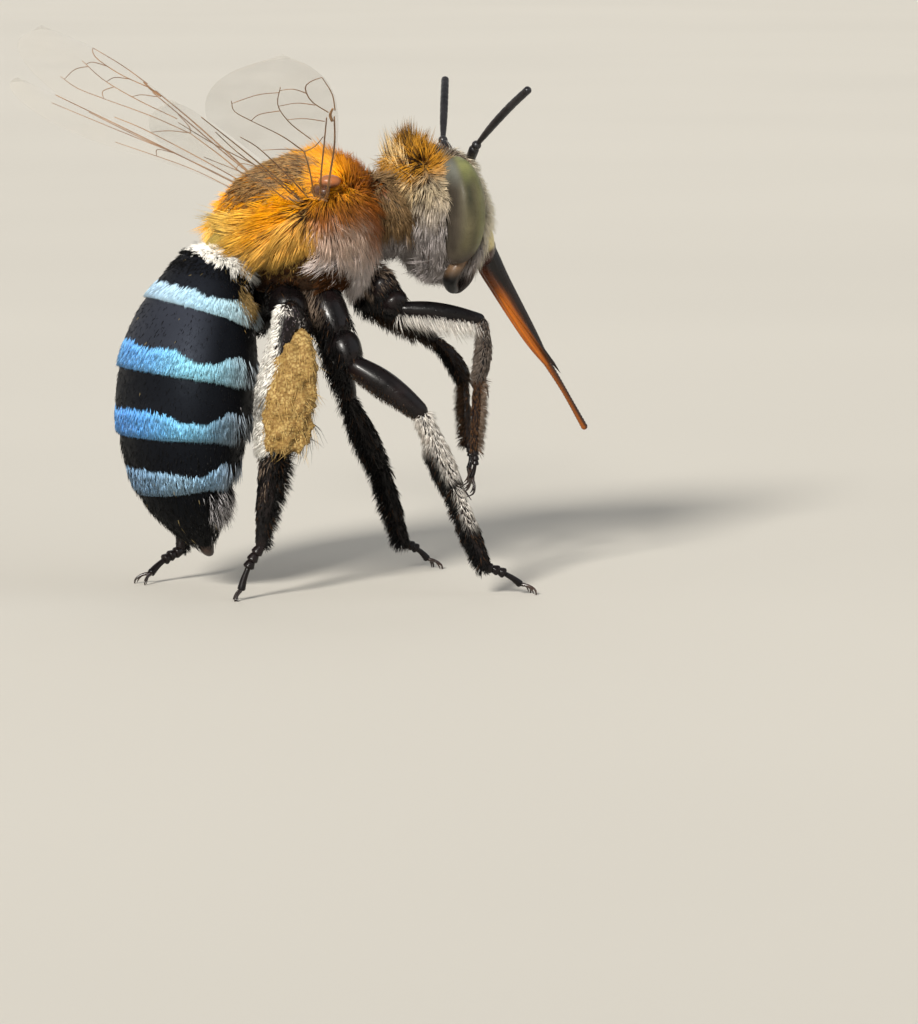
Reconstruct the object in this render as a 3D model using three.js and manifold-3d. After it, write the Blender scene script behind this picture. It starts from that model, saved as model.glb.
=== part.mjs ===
// A blue-banded bee, a female about 12 mm long. It stands on its middle and hind feet with its
// front legs lifted, its abdomen curled down, its tongue stretched out and its wings spread.
// Millimetres. +X is the way it heads, +Y is its left and +Z is up. The origin is on the ground
// under the middle of its outline. Each solid reaches to the tips of the coat that it carries,
// and neighbours are parted by thin cuts.
import * as THREE from "three";
import { mergeVertices } from "three/addons/utils/BufferGeometryUtils.js";
import Module from "manifold-3d";

const wasm = await Module();
wasm.setup();

// Driving dimensions.
const cut = 0.04; // the gap left between two neighbours
const flatness = 0.012; // how far a face may stray from the form that it stands for
const originX = 0.9; // from the middle of the thorax forward to the middle of the outline
const leastRadius = 0.25; // of a leg or feeler, so that none is under half a millimetre thick
const bodyZ = 7.62; // the middle of the thorax above the ground
const toeZ = 0.2; // lower than a foot's radius, so that it stands on a flat
const wingThick = 0.5;
const forewingLong = 7.8;
const hindwingLong = 5.5;
const wingSweep = 22; // degrees back from straight out
const wingRise = 24; // degrees up from level
const wingPitch = 8; // degrees, the front edge up
const wingRoot = [-0.3, -1.7, 8.2];

const material = (color, roughness, metalness = 0) =>
  new THREE.MeshStandardMaterial({ color, roughness, metalness });
const finishes = {
  thoraxFur: material(0xd08a2a, 0.9),
  headFur: material(0xc9b48a, 0.9),
  shell: material(0x14110f, 0.35),
  bandedShell: material(0x1a2028, 0.45),
  eye: material(0x7f8a5c, 0.25),
  feeler: material(0x241a16, 0.4),
  tongue: material(0x9a4f14, 0.35),
  face: material(0xd8cf9a, 0.6),
  legFur: material(0x3a332e, 0.8),
  pollen: material(0xd9a94e, 0.95),
  tegula: material(0x8a4a1c, 0.35),
  wing: material(0xb9b4a8, 0.15),
};

const v3 = (point) => new THREE.Vector3(...point);

// ---- solids and cuts ----

// A closed geometry as a solid that can be joined and cut.
function solidOf(geometry) {
  const bare = geometry.clone();
  bare.deleteAttribute("normal");
  bare.deleteAttribute("uv");
  const merged = mergeVertices(bare, 1e-4);
  return new wasm.Manifold(
    new wasm.Mesh({
      numProp: 3,
      vertProperties: merged.attributes.position.array,
      triVerts: new Uint32Array(merged.index.array),
    }),
  );
}

// The largest piece of a solid as a geometry, with the faces that it can do without merged.
function geometryOf(solid) {
  const pieces = solid.simplify(flatness).decompose();
  const whole = pieces.reduce((a, b) => (a.volume() > b.volume() ? a : b));
  const mesh = whole.getMesh();
  return new THREE.BufferGeometry()
    .setAttribute("position", new THREE.BufferAttribute(mesh.vertProperties, 3))
    .setIndex(new THREE.BufferAttribute(mesh.triVerts, 1));
}

const bee = new THREE.Group();
bee.position.x = -originX; // the numbers below are measured from the middle of the thorax

// Adds a solid to the bee as a named mesh.
function add(name, solid, finish) {
  const mesh = new THREE.Mesh(geometryOf(solid), finish);
  mesh.geometry.computeVertexNormals();
  mesh.name = name;
  bee.add(mesh);
}

// Adds a right-hand solid and its mirror image on the left.
function addPair(name, solid, finish) {
  add(name + "_right", solid, finish);
  const left = bee.children.at(-1).clone();
  left.name = name + "_left";
  left.scale.y = -1;
  bee.add(left);
}

// What is left of a solid once each neighbour, grown by the gap, is taken from it.
const trimmed = (solid, ...neighbours) =>
  neighbours.reduce((rest, neighbour) => rest.subtract(neighbour(cut)), solid);

// ---- forms ----

// A rounded form about a centre, with its own reach forward, back, sideways, up and down.
// power 2 is an ellipsoid and more is fuller. pitch, in degrees, lifts its front.
function blob({ centre, reach, pitch = 0, power = 2, sides = 20, rings = 14 }, grow = 0) {
  const [front, back, side, top, bottom] = reach.map((length) => length + grow);
  const geometry = new THREE.SphereGeometry(1, sides, rings).rotateZ(-Math.PI / 2);
  const position = geometry.attributes.position;
  const p = new THREE.Vector3();
  for (let i = 0; i < position.count; i++) {
    p.fromBufferAttribute(position, i);
    const fullness = [p.x, p.y, p.z].reduce((sum, c) => sum + Math.abs(c) ** power, 0);
    p.multiplyScalar(fullness ** (-1 / power));
    p.x *= p.x > 0 ? front : back;
    p.y *= side;
    p.z *= p.z > 0 ? top : bottom;
    position.setXYZ(i, p.x, p.y, p.z);
  }
  geometry.rotateY(THREE.MathUtils.degToRad(-pitch)).translate(...centre);
  return solidOf(geometry);
}

// A closed tube along a curve. half(t) gives its half-widths along the across direction and
// square to it, at t from 0 to 1. The rings are closest near the two ends.
function tube({ curve, half, across = [0, 1, 0], sides = 10, steps = 7 }) {
  const profile = [];
  for (let i = 0; i <= steps; i++) {
    const t = (1 - Math.cos((Math.PI * i) / steps)) / 2;
    profile.push(new THREE.Vector2(i === 0 || i === steps ? 0 : 1, t));
  }
  const geometry = new THREE.LatheGeometry(profile, sides);
  const position = geometry.attributes.position;
  for (let i = 0; i < position.count; i++) {
    const t = position.getY(i);
    const along = curve.getTangentAt(t);
    const wide = v3(across).addScaledVector(along, -v3(across).dot(along)).normalize();
    const deep = wide.clone().cross(along);
    const [halfWide, halfDeep] = half(t);
    const p = curve
      .getPointAt(t)
      .addScaledVector(wide, position.getX(i) * halfWide)
      .addScaledVector(deep, position.getZ(i) * halfDeep);
    position.setXYZ(i, p.x, p.y, p.z);
  }
  return solidOf(geometry);
}

// A limb between two joints, round at both ends. radius(s) is its half-thickness at s from 0 at
// the first joint to 1 at the second, wide is how many times wider it is across, and bow is how
// far its middle stands off the straight line.
function limb({ from, to, radius, wide = 1, bow = [0, 0, 0], across, sides, steps }, grow = 0) {
  const start = v3(from);
  const end = v3(to);
  const along = end.clone().sub(start).normalize();
  const length = start.distanceTo(end);
  const [first, last] = [radius(0), radius(1)];
  const whole = length + first + last;
  const middle = start.clone().lerp(end, 0.5).addScaledVector(v3(bow), 2);
  const curve = new THREE.QuadraticBezierCurve3(
    start.addScaledVector(along, -first),
    middle,
    end.addScaledVector(along, last),
  );
  const half = (t) => {
    const s = t * whole - first;
    let r = radius(THREE.MathUtils.clamp(s / length, 0, 1));
    if (s < 0) r *= Math.sqrt(Math.max(0, 1 - (s / first) ** 2));
    if (s > length) r *= Math.sqrt(Math.max(0, 1 - ((s - length) / last) ** 2));
    return [r * wide + grow, r + grow];
  };
  return tube({ curve, half, across, sides, steps });
}

// A radius that runs in straight lines through values at even stations along a limb.
const through = (...values) => (s) => {
  const x = s * (values.length - 1);
  const i = Math.min(Math.floor(x), values.length - 2);
  return THREE.MathUtils.lerp(values[i], values[i + 1], x - i);
};

// Cuts a chain of limbs at the planes that halve its bends, so that each meets the next face to
// face. joints are the ends of the limbs in order, and limbs the solids between them.
function partAtJoints(joints, limbs) {
  const points = joints.map(v3);
  return limbs.map((solid, i) => {
    const toward = (k) => points[k + 1].clone().sub(points[k]).normalize();
    if (i > 0) {
      const normal = toward(i - 1).add(toward(i)).normalize();
      solid = solid.trimByPlane(normal.toArray(), normal.dot(points[i]) + cut / 2);
    }
    if (i < limbs.length - 1) {
      const normal = toward(i).add(toward(i + 1)).normalize().negate();
      solid = solid.trimByPlane(normal.toArray(), normal.dot(points[i + 1]) + cut / 2);
    }
    return solid;
  });
}

// ---- trunk ----

const thorax = (grow) =>
  blob({
    centre: [-0.1, 0, bodyZ],
    reach: [1.82, 2.0, 2.05, 1.7, 1.98],
    pitch: 12,
    power: 2.05,
    sides: 24,
    rings: 16,
  }, grow);

const head = (grow) =>
  blob({
    centre: [2.92, 0, 7.85],
    reach: [1.06, 1.08, 1.85, 1.6, 1.42],
    pitch: 11,
    power: 2.4,
  }, grow);

const eye = (grow) =>
  blob({
    centre: [2.98, -1.6, 7.86],
    reach: [0.5, 0.46, 0.42, 1.12, 1.1],
    pitch: 9,
    power: 2.1,
    sides: 14,
    rings: 10,
  }, grow);

const clypeus = (grow) =>
  blob({
    centre: [3.72, 0, 7.3],
    reach: [0.5, 0.4, 0.72, 0.72, 0.75],
    pitch: 14,
    sides: 12,
    rings: 8,
  }, grow);

const neck = limb({
  from: [1.3, 0, 7.95],
  to: [2.4, 0, 7.9],
  radius: () => 0.6,
  sides: 10,
  steps: 5,
});

const leftEye = (grow) => eye(grow).mirror([0, 1, 0]);
add("thorax", thorax(0), finishes.thoraxFur);
add("head", trimmed(head(0), eye, leftEye, clypeus), finishes.headFur);
add("neck", trimmed(neck, thorax, head), finishes.headFur);
add("clypeus", clypeus(0), finishes.face);
addPair("eye", eye(0), finishes.eye);

// ---- abdomen ----

// It runs down and forward in a curve, six rings parted where each back plate ends.
const abdomen = {
  curve: new THREE.CatmullRomCurve3(
    [[-1.95, 0, 6.82], [-2.52, 0, 4.76], [-2.62, 0, 2.45], [-2.12, 0, 0.86]].map(v3),
  ),
  ringEnds: [0.165, 0.384, 0.585, 0.755, 0.88],
  thickestAt: 0.42,
  halfDepth: 1.43,
  halfWidth: 1.95,
  frontShare: 0.52, // its blunt front against its thickest
};

// The half-size at t as a share of the largest: a shallow arch forward, a rounded point behind.
function abdomenShare(t) {
  const { thickestAt, frontShare } = abdomen;
  if (t < thickestAt) return 1 - (1 - frontShare) * ((thickestAt - t) / thickestAt) ** 2;
  return (1 - ((t - thickestAt) / (1 - thickestAt)) ** 2) ** 0.8;
}

const wholeAbdomen = trimmed(
  tube({
    curve: abdomen.curve,
    half: (t) => [abdomen.halfWidth * abdomenShare(t), abdomen.halfDepth * abdomenShare(t)],
    sides: 24,
    steps: 20,
  }),
  thorax,
);
[0, ...abdomen.ringEnds].forEach((begin, i) => {
  const end = abdomen.ringEnds[i];
  let ring = wholeAbdomen;
  if (i > 0) {
    const normal = abdomen.curve.getTangentAt(begin);
    const offset = normal.dot(abdomen.curve.getPointAt(begin)) + cut / 2;
    ring = ring.trimByPlane(normal.toArray(), offset);
  }
  if (end) {
    const normal = abdomen.curve.getTangentAt(end).negate();
    const offset = normal.dot(abdomen.curve.getPointAt(end)) + cut / 2;
    ring = ring.trimByPlane(normal.toArray(), offset);
  }
  add("abdomen_" + (i + 1), ring, finishes.bandedShell);
});

// ---- feelers, jaws and tongue ----

const scape = [[3.44, -0.42, 8.76], [3.41, -0.975, 9.18]];
const feelerTip = [4.03, -2.55, 10.45];
const [scapeSolid, flagellumSolid] = partAtJoints(
  [...scape, feelerTip],
  [
    limb({ from: scape[0], to: scape[1], radius: () => leastRadius, steps: 6 }),
    limb({ from: scape[1], to: feelerTip, radius: through(0.25, 0.25, 0.26) }),
  ],
);
addPair("antenna_scape", trimmed(scapeSolid, head), finishes.feeler);
addPair("antenna_flagellum", trimmed(flagellumSolid, head), finishes.feeler);

const tongueJoints = [[3.72, 0, 6.98], [5.05, 0, 5.08], [6.3, 0, 3.1]];
const wholeSheath = (grow) =>
  limb({ from: tongueJoints[0], to: tongueJoints[1], radius: through(0.36, 0.34, 0.27) }, grow);
const [sheath, tongue] = partAtJoints(tongueJoints, [
  wholeSheath(0),
  limb({ from: tongueJoints[1], to: tongueJoints[2], radius: through(0.27, leastRadius) }),
]);
add("proboscis_sheath", trimmed(sheath, head, clypeus), finishes.tongue);
add("tongue", tongue, finishes.tongue);

const mandible = limb({
  from: [3.2, -1.0, 6.75],
  to: [3.42, -0.42, 6.34],
  radius: through(0.3, 0.28, 0.22),
  bow: [0.02, -0.1, -0.08],
});
addPair("mandible", trimmed(mandible, head, clypeus, wholeSheath), finishes.shell);

// ---- legs ----

// The half-thickness of each limb at even stations from its upper joint, coat and all, and how
// many times wider it is seen from the side than from the front.
const legForms = {
  front: {
    hip: { radius: through(0.42, 0.34) },
    femur: { radius: through(0.3, 0.31, 0.25) },
    tibia: { radius: through(0.25, 0.27, 0.25) },
    basitarsus: { radius: through(0.25, 0.26, 0.25) },
    foot: { radius: () => leastRadius },
  },
  middle: {
    hip: { radius: through(0.48, 0.4) },
    femur: { radius: through(0.32, 0.33, 0.27) },
    tibia: { radius: through(0.27, 0.34, 0.3) },
    basitarsus: { radius: through(0.27, 0.28, 0.25) },
    foot: { radius: () => leastRadius },
  },
  hind: {
    hip: { radius: through(0.5, 0.42) },
    femur: { radius: through(0.34, 0.36, 0.32) },
    tibia: { radius: through(0.32, 0.48, 0.55, 0.36), wide: 1.25 },
    basitarsus: { radius: through(0.38, 0.36, 0.25), wide: 1.2 },
    foot: { radius: () => leastRadius },
  },
};

// The joints of each leg: top of the hip, hip, knee, ankle, heel and toe.
const legJoints = {
  front_right: [
    [1.3, -0.55, 6.6], [1.75, -0.95, 5.84], [3.38, -1.5, 5.62],
    [3.31, -1.45, 4.38], [3.25, -1.36, 2.9], [3.2, -1.3, 2.3],
  ],
  front_left: [
    [1.3, 0.55, 6.6], [1.8, 0.95, 5.75], [3.38, 1.4, 5.0],
    [4.0, 1.3, 4.15], [4.03, 1.18, 2.8], [4.03, 1.1, 2.25],
  ],
  middle_right: [
    [0.1, -0.6, 6.3], [0.5, -1.5, 4.79], [1.82, -2.2, 3.76],
    [2.4, -2.45, 2.26], [3.03, -2.6, 0.6], [3.82, -2.65, toeZ],
  ],
  middle_left: [
    [0.2, 0.6, 6.3], [0.85, 1.1, 5.3], [1.56, 1.7, 3.78],
    [2.4, 2.1, 2.26], [3.0, 2.35, 0.6], [3.6, 2.45, toeZ],
  ],
  hind_right: [
    [-0.75, -0.7, 6.35], [-0.55, -1.3, 5.3], [-1.0, -1.9, 6.0],
    [-1.32, -1.85, 3.05], [-1.55, -1.75, 1.1], [-1.95, -1.65, toeZ],
  ],
  hind_left: [
    [-0.75, 0.7, 6.35], [-0.55, 1.4, 5.4], [-1.2, 2.2, 5.7],
    [-1.7, 2.35, 2.6], [-2.05, 2.05, 0.65], [-2.8, 1.85, toeZ],
  ],
};

const legSides = 10;
for (const [name, joints] of Object.entries(legJoints)) {
  const form = legForms[name.split("_")[0]];
  const parts = Object.keys(form);
  const limbs = parts.map((part, i) =>
    limb({ from: joints[i], to: joints[i + 1], across: [1, 0, 0], sides: legSides, ...form[part] }),
  );
  partAtJoints(joints, limbs).forEach((solid, i) => {
    let piece = solid;
    if (parts[i] === "hip") piece = trimmed(piece, thorax);
    if (parts[i] === "foot") piece = piece.trimByPlane([0, 0, 1], 0);
    const scopa = name.startsWith("hind") && parts[i] === "tibia";
    add(`${parts[i]}_${name}`, piece, scopa ? finishes.pollen : finishes.legFur);
  });
}

// ---- wings ----

// Outlines in the wing's own plane: x runs out along the wing, y towards its front edge.
// The two wings share the seam where the small hooks of the hind wing hold the fore wing.
const seam = {
  root: new THREE.Vector2(0.05, -0.22),
  bend: new THREE.Vector2(2.3, -0.95),
  end: new THREE.Vector2(0.6 * forewingLong, -1.95),
};

function forewingOutline() {
  const tip = new THREE.Vector2(forewingLong, -0.35);
  const shape = new THREE.Shape();
  shape.moveTo(0, 0.22);
  shape.bezierCurveTo(2.4, 0.5, 5.6, 0.95, 7.0, 0.42);
  shape.bezierCurveTo(7.5, 0.2, tip.x + 0.05, 0.1, tip.x, tip.y);
  shape.bezierCurveTo(7.6, -1.5, 6.1, -2.05, seam.end.x, seam.end.y);
  shape.quadraticCurveTo(seam.bend.x, seam.bend.y, seam.root.x, seam.root.y);
  return shape;
}

function hindwingOutline() {
  const shape = new THREE.Shape();
  shape.moveTo(seam.root.x, seam.root.y - cut);
  shape.quadraticCurveTo(seam.bend.x, seam.bend.y - cut, seam.end.x, seam.end.y - cut);
  shape.bezierCurveTo(5.1, -2.1, 5.75, -2.45, hindwingLong, -2.75);
  shape.bezierCurveTo(4.9, -3.35, 3.2, -3.3, 2.1, -2.2);
  shape.bezierCurveTo(1.4, -1.5, 0.5, -0.95, 0.05, -0.7);
  return shape;
}

// A flat wing extruded from its outline and set at the thorax's right side.
function wing(outline) {
  const sweep = THREE.MathUtils.degToRad(wingSweep);
  const rise = THREE.MathUtils.degToRad(wingRise);
  const out = new THREE.Vector3(
    -Math.sin(sweep) * Math.cos(rise),
    -Math.cos(sweep) * Math.cos(rise),
    Math.sin(rise),
  );
  const ahead = new THREE.Vector3(1, 0, 0).addScaledVector(out, -out.x).normalize();
  ahead.applyAxisAngle(out, THREE.MathUtils.degToRad(-wingPitch));
  const set = new THREE.Matrix4().makeBasis(out, ahead, out.clone().cross(ahead));
  set.setPosition(...wingRoot);
  const geometry = new THREE.ExtrudeGeometry(outline, {
    depth: wingThick,
    bevelEnabled: false,
    curveSegments: 6,
  });
  return solidOf(geometry.translate(0, 0, -wingThick / 2).applyMatrix4(set));
}

const tegula = (grow) =>
  blob({
    centre: [-0.02, -1.86, 8.62],
    reach: [0.34, 0.34, 0.26, 0.22, 0.24],
    sides: 10,
    rings: 6,
  }, grow);
addPair("forewing", trimmed(wing(forewingOutline()), thorax, tegula), finishes.wing);
addPair("hindwing", trimmed(wing(hindwingOutline()), thorax), finishes.wing);
addPair("tegula", trimmed(tegula(0), thorax), finishes.tegula);

export default bee;
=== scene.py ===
import itertools
import math

import bpy
import numpy as np
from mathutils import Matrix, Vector


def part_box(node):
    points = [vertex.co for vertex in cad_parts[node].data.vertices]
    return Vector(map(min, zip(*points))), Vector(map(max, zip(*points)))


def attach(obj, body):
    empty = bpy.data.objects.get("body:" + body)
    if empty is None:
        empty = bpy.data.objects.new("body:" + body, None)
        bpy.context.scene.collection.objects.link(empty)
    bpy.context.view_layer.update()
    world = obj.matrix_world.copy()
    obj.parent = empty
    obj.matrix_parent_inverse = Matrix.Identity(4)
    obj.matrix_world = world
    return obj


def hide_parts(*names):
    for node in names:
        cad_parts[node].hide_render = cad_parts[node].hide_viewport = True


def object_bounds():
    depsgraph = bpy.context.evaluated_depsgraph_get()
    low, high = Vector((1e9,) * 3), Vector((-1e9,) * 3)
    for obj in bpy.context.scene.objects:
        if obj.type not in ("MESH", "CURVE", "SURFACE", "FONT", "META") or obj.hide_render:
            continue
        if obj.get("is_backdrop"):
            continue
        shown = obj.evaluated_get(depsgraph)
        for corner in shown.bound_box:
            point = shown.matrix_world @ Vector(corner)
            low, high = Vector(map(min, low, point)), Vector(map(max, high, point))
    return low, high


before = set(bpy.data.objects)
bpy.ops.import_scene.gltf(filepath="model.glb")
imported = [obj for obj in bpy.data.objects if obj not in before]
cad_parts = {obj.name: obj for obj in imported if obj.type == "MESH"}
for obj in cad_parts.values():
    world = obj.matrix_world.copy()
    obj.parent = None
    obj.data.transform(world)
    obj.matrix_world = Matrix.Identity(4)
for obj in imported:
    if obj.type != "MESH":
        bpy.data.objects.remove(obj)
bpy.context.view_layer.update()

# A blue-banded bee, a female about 12 mm long. Every number below is in millimetres unless a note
# says otherwise, in the frame's own axes: +X is ahead, +Y is the bee's left and +Z is up.
metre = 0.001
sides = {"right": -1, "left": 1}  # the sign of Y on each side
floorGap = 0.004  # nothing reaches lower than this


# small tools
def unit(vectors):
    # vectors / their length
    return vectors / np.maximum(np.linalg.norm(vectors, axis=-1, keepdims=True), 1e-9)


def ramp(x, low, high):
    # 3t^2 - 2t^3, where t runs from 0 at low to 1 at high
    t = np.clip((np.asarray(x, float) - low) / (high - low), 0, 1)
    return t * t * (3 - 2 * t)


def fall(x, low, high):
    # the other way round: 1 up to low and 0 from high
    return 1 - ramp(x, low, high)


def peak(x, middle, wide):
    # a bell, e to the power of -((x - middle) / wide)^2
    return np.exp(-(((x - middle) / wide) ** 2))


def blend(a, b, share):
    # a (1 - share) + b share, row by row
    share = np.asarray(share, float)[..., None]
    return np.asarray(a, float) * (1 - share) + np.asarray(b, float) * share


def paint(red, green, paintedSheen):
    # a screen colour of 0 to 255 as the linear colour that a shader uses
    c = np.array([red, green, paintedSheen], float) / 255
    return np.where(c <= 0.04045, c / 12.92, ((c + 0.055) / 1.055) ** 2.4)


def layered(hue, *layers):
    # a colour with others laid over it, each by its share. A name stands for one of the hues
    for over, share in layers:
        hue = blend(hue, hues[over] if isinstance(over, str) else over, share)
    return hue


def spline(values, x):
    # a cubic that runs smoothly through evenly spaced values, x from 0 at the first to 1 at the last
    values = np.asarray(values, float)
    last = len(values) - 1
    place = np.clip(np.asarray(x, float), 0, 1) * last
    i = np.minimum(place.astype(int), last - 1)
    t = place - i
    if values.ndim > 1:
        t = t[..., None]
    slope = np.gradient(values, axis=0)
    return (
        (2 * t**3 - 3 * t**2 + 1) * values[i]
        + (t**3 - 2 * t**2 + t) * slope[i]
        + (3 * t**2 - 2 * t**3) * values[i + 1]
        + (t**3 - t**2) * slope[i + 1]
    )


def lumps(points, size, seed=0):
    # smooth noise of -1 to 1: random numbers at the corners of cubes of that size, eased between them
    table = np.random.default_rng(seed).random(4096)
    cell = points / size + 200.0
    base = np.floor(cell).astype(np.int64)
    t = cell - base
    t = t * t * (3 - 2 * t)
    total = np.zeros(len(points))
    for corner in itertools.product((0, 1), repeat=3):
        c = base + np.array(corner)
        key = (c[:, 0] * 73856093 ^ c[:, 1] * 19349663 ^ c[:, 2] * 83492791) & 4095
        total += np.prod(np.where(corner, t, 1 - t), axis=1) * table[key]
    return total * 2 - 1


# surfaces: points, four-sided and three-sided faces, and each face corner's place on the unwrap
def closedSurface(shape, around, stations):
    # rings of points shape(u, v), u round the form and v along it from one pole to the other
    if np.isscalar(stations):
        stations = np.linspace(0, 1, stations + 1)
    inner = np.asarray(stations)[1:-1]
    rings = len(inner)
    u, v = np.meshgrid(np.arange(around) / around, inner)
    points = np.concatenate([shape(u.ravel(), v.ravel()), shape(np.zeros(2), np.array([0.0, 1.0]))])
    i, j = np.meshgrid(np.arange(around), np.arange(rings - 1))
    i, j, k = i.ravel(), j.ravel(), (i.ravel() + 1) % around
    quads = np.stack([j * around + i, j * around + k, (j + 1) * around + k, (j + 1) * around + i], 1)
    quadUv = np.stack([
        np.stack([i, i + 1, i + 1, i], 1) / around,
        np.stack([inner[j], inner[j], inner[j + 1], inner[j + 1]], 1),
    ], 2)
    i = np.arange(around)
    k = (i + 1) % around
    north, south, last = rings * around, rings * around + 1, (rings - 1) * around
    tris = np.concatenate([
        np.stack([np.full(around, north), k, i], 1),
        np.stack([np.full(around, south), last + i, last + k], 1)])
    middle = (i + 0.5) / around
    triUv = np.concatenate([
        np.stack([np.stack([middle, (i + 1) / around, i / around], 1),
                  np.broadcast_to([0, inner[0], inner[0]], (around, 3))], 2),
        np.stack([np.stack([middle, i / around, (i + 1) / around], 1),
                  np.broadcast_to([1, inner[-1], inner[-1]], (around, 3))], 2),
    ])
    return outward({"points": points, "quads": quads, "quadUv": quadUv, "tris": tris, "triUv": triUv})


def outward(surface):
    # the faces are turned round where the signed volume, the sum of a . (b x c) / 6, is below nought
    a, b, c = (surface["points"][trianglesOf(surface)[0][:, k]] for k in range(3))
    if np.einsum("ij,ij->i", a, np.cross(b, c)).sum() < 0:
        for key in ("quads", "quadUv", "tris", "triUv"):
            surface[key] = surface[key][:, ::-1]
    return surface


def trianglesOf(surface):
    # every face as triangles, with the unwrap of their corners
    q, w = surface["quads"], surface["quadUv"]
    faces = np.concatenate([q[:, [0, 1, 2]], q[:, [0, 2, 3]], surface["tris"]])
    uv = np.concatenate([w[:, [0, 1, 2]], w[:, [0, 2, 3]], surface["triUv"]])
    return faces, uv


def joined(surfaces, tiled=True):
    # one surface of them all. tiled gives each its own square of the unwrap, so that none lies on another
    across = math.ceil(math.sqrt(len(surfaces))) if tiled else 1
    out = {key: [] for key in ("points", "quads", "quadUv", "tris", "triUv")}
    offset = 0
    for i, surface in enumerate(surfaces):
        place = np.array([i % across, i // across]) if tiled else np.zeros(2)
        out["points"].append(surface["points"])
        for key in ("quads", "tris"):
            out[key].append(surface[key] + offset)
            uv = surface[key[:-1] + "Uv"]
            out[key[:-1] + "Uv"].append((uv * 0.96 + 0.02 + place) / across if tiled else uv)
        offset += len(surface["points"])
    return {key: np.concatenate(value) for key, value in out.items()}


def pointNormals(surface):
    # the sum of the normals of the faces at each point, by area
    faces = trianglesOf(surface)[0]
    a, b, c = (surface["points"][faces[:, k]] for k in range(3))
    flat = np.cross(b - a, c - a)
    total = np.zeros_like(surface["points"])
    for k in range(3):
        np.add.at(total, faces[:, k], flat)
    return unit(total)


def toRight(points):
    # the same places on the bee's right side
    return np.stack([points[:, 0], -np.abs(points[:, 1]), points[:, 2]], 1)


def turned(points, pitch):
    # turned about Y so that the front lifts by pitch degrees
    c, s = math.cos(math.radians(pitch)), math.sin(math.radians(pitch))
    x, y, z = points.T
    return np.stack([x * c - z * s, y, x * s + z * c], 1)


def reaches(form, points, grow=0.0):
    # the form's reach toward the side of each axis that a point is on
    front, back, side, top, bottom = (r + grow for r in form["reach"])
    return np.stack([
        np.where(points[:, 0] > 0, front, back), np.full(len(points), side),
        np.where(points[:, 2] > 0, top, bottom),
    ], 1)


def blobShape(form, grow=0.0, dent=None):
    # a direction d scaled by 1 / (|x|^p + |y|^p + |z|^p)^(1/p) and by its reach to each side,
    # pole to pole along X
    def shape(u, v):
        d = np.stack([np.cos(np.pi * v), np.sin(np.pi * v) * np.cos(2 * np.pi * u),
                      np.sin(np.pi * v) * np.sin(2 * np.pi * u)], 1)
        power = form.get("power", 2.0)
        d /= (np.abs(d) ** power).sum(1, keepdims=True) ** (1 / power)
        points = d * reaches(form, d, grow)
        if dent is not None:
            points = dent(points)
        return turned(points, form.get("pitch", 0)) + np.array(form["centre"])

    return shape


def placeIn(form, points, grow=0.0):
    # where points are in a form, as shares of its reach: ahead, to the left, up
    local = turned(points - np.array(form["centre"]), -form.get("pitch", 0))
    return local / reaches(form, local, grow)


def depthIn(form, points, grow=0.0):
    # below 1 inside the form and above 1 outside
    power = form.get("power", 2.0)
    return (np.abs(placeIn(form, points, grow)) ** power).sum(1) ** (1 / power)


def tubeShape(path, radii, across=(0, 1, 0), wide=1.0, rounded=1.0, even=False, profile=None):
    # centre(s) runs through the path, and round it goes a ring radius(s) * wide by radius(s),
    # rounded off at the ends
    path = np.asarray(path, float)
    steps = spline(path, np.linspace(0, 1, 40))
    length = np.linalg.norm(np.diff(steps, axis=0), axis=1).sum()
    across = np.asarray(across, float)

    def shape(u, v):
        s = v if even else (1 - np.cos(np.pi * v)) / 2
        along = unit(spline(path, np.minimum(s + 0.02, 1)) - spline(path, np.maximum(s - 0.02, 0)))
        side = unit(across - along * (along @ across)[:, None])
        deep = np.cross(side, along)
        r = spline(radii, s)
        if profile is not None:
            r = r * profile(s)
        first, last = max(radii[0] * rounded, 1e-3), max(radii[-1] * rounded, 1e-3)
        r = r * np.sqrt(np.clip(1 - (1 - np.clip(s * length / first, 0, 1)) ** 2, 0, 1))
        r = r * np.sqrt(np.clip(1 - (1 - np.clip((1 - s) * length / last, 0, 1)) ** 2, 0, 1))
        angle = 2 * np.pi * u
        return (spline(path, s) + (r * wide * np.cos(angle))[:, None] * side
            + (r * np.sin(angle))[:, None] * deep)

    return shape


def tube(path, radii, around, stations, *more, **options):
    return closedSurface(tubeShape(path, radii, *more, **options), around, stations)


def blob(form, around, stations):
    return closedSurface(blobShape(form, -form.get("coat", 0)), around, stations)


def mirrored(surface):
    # the same on the other side of the bee
    other = dict(surface)
    other["points"] = surface["points"] * np.array([1, -1, 1])
    return outward(other)


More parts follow.
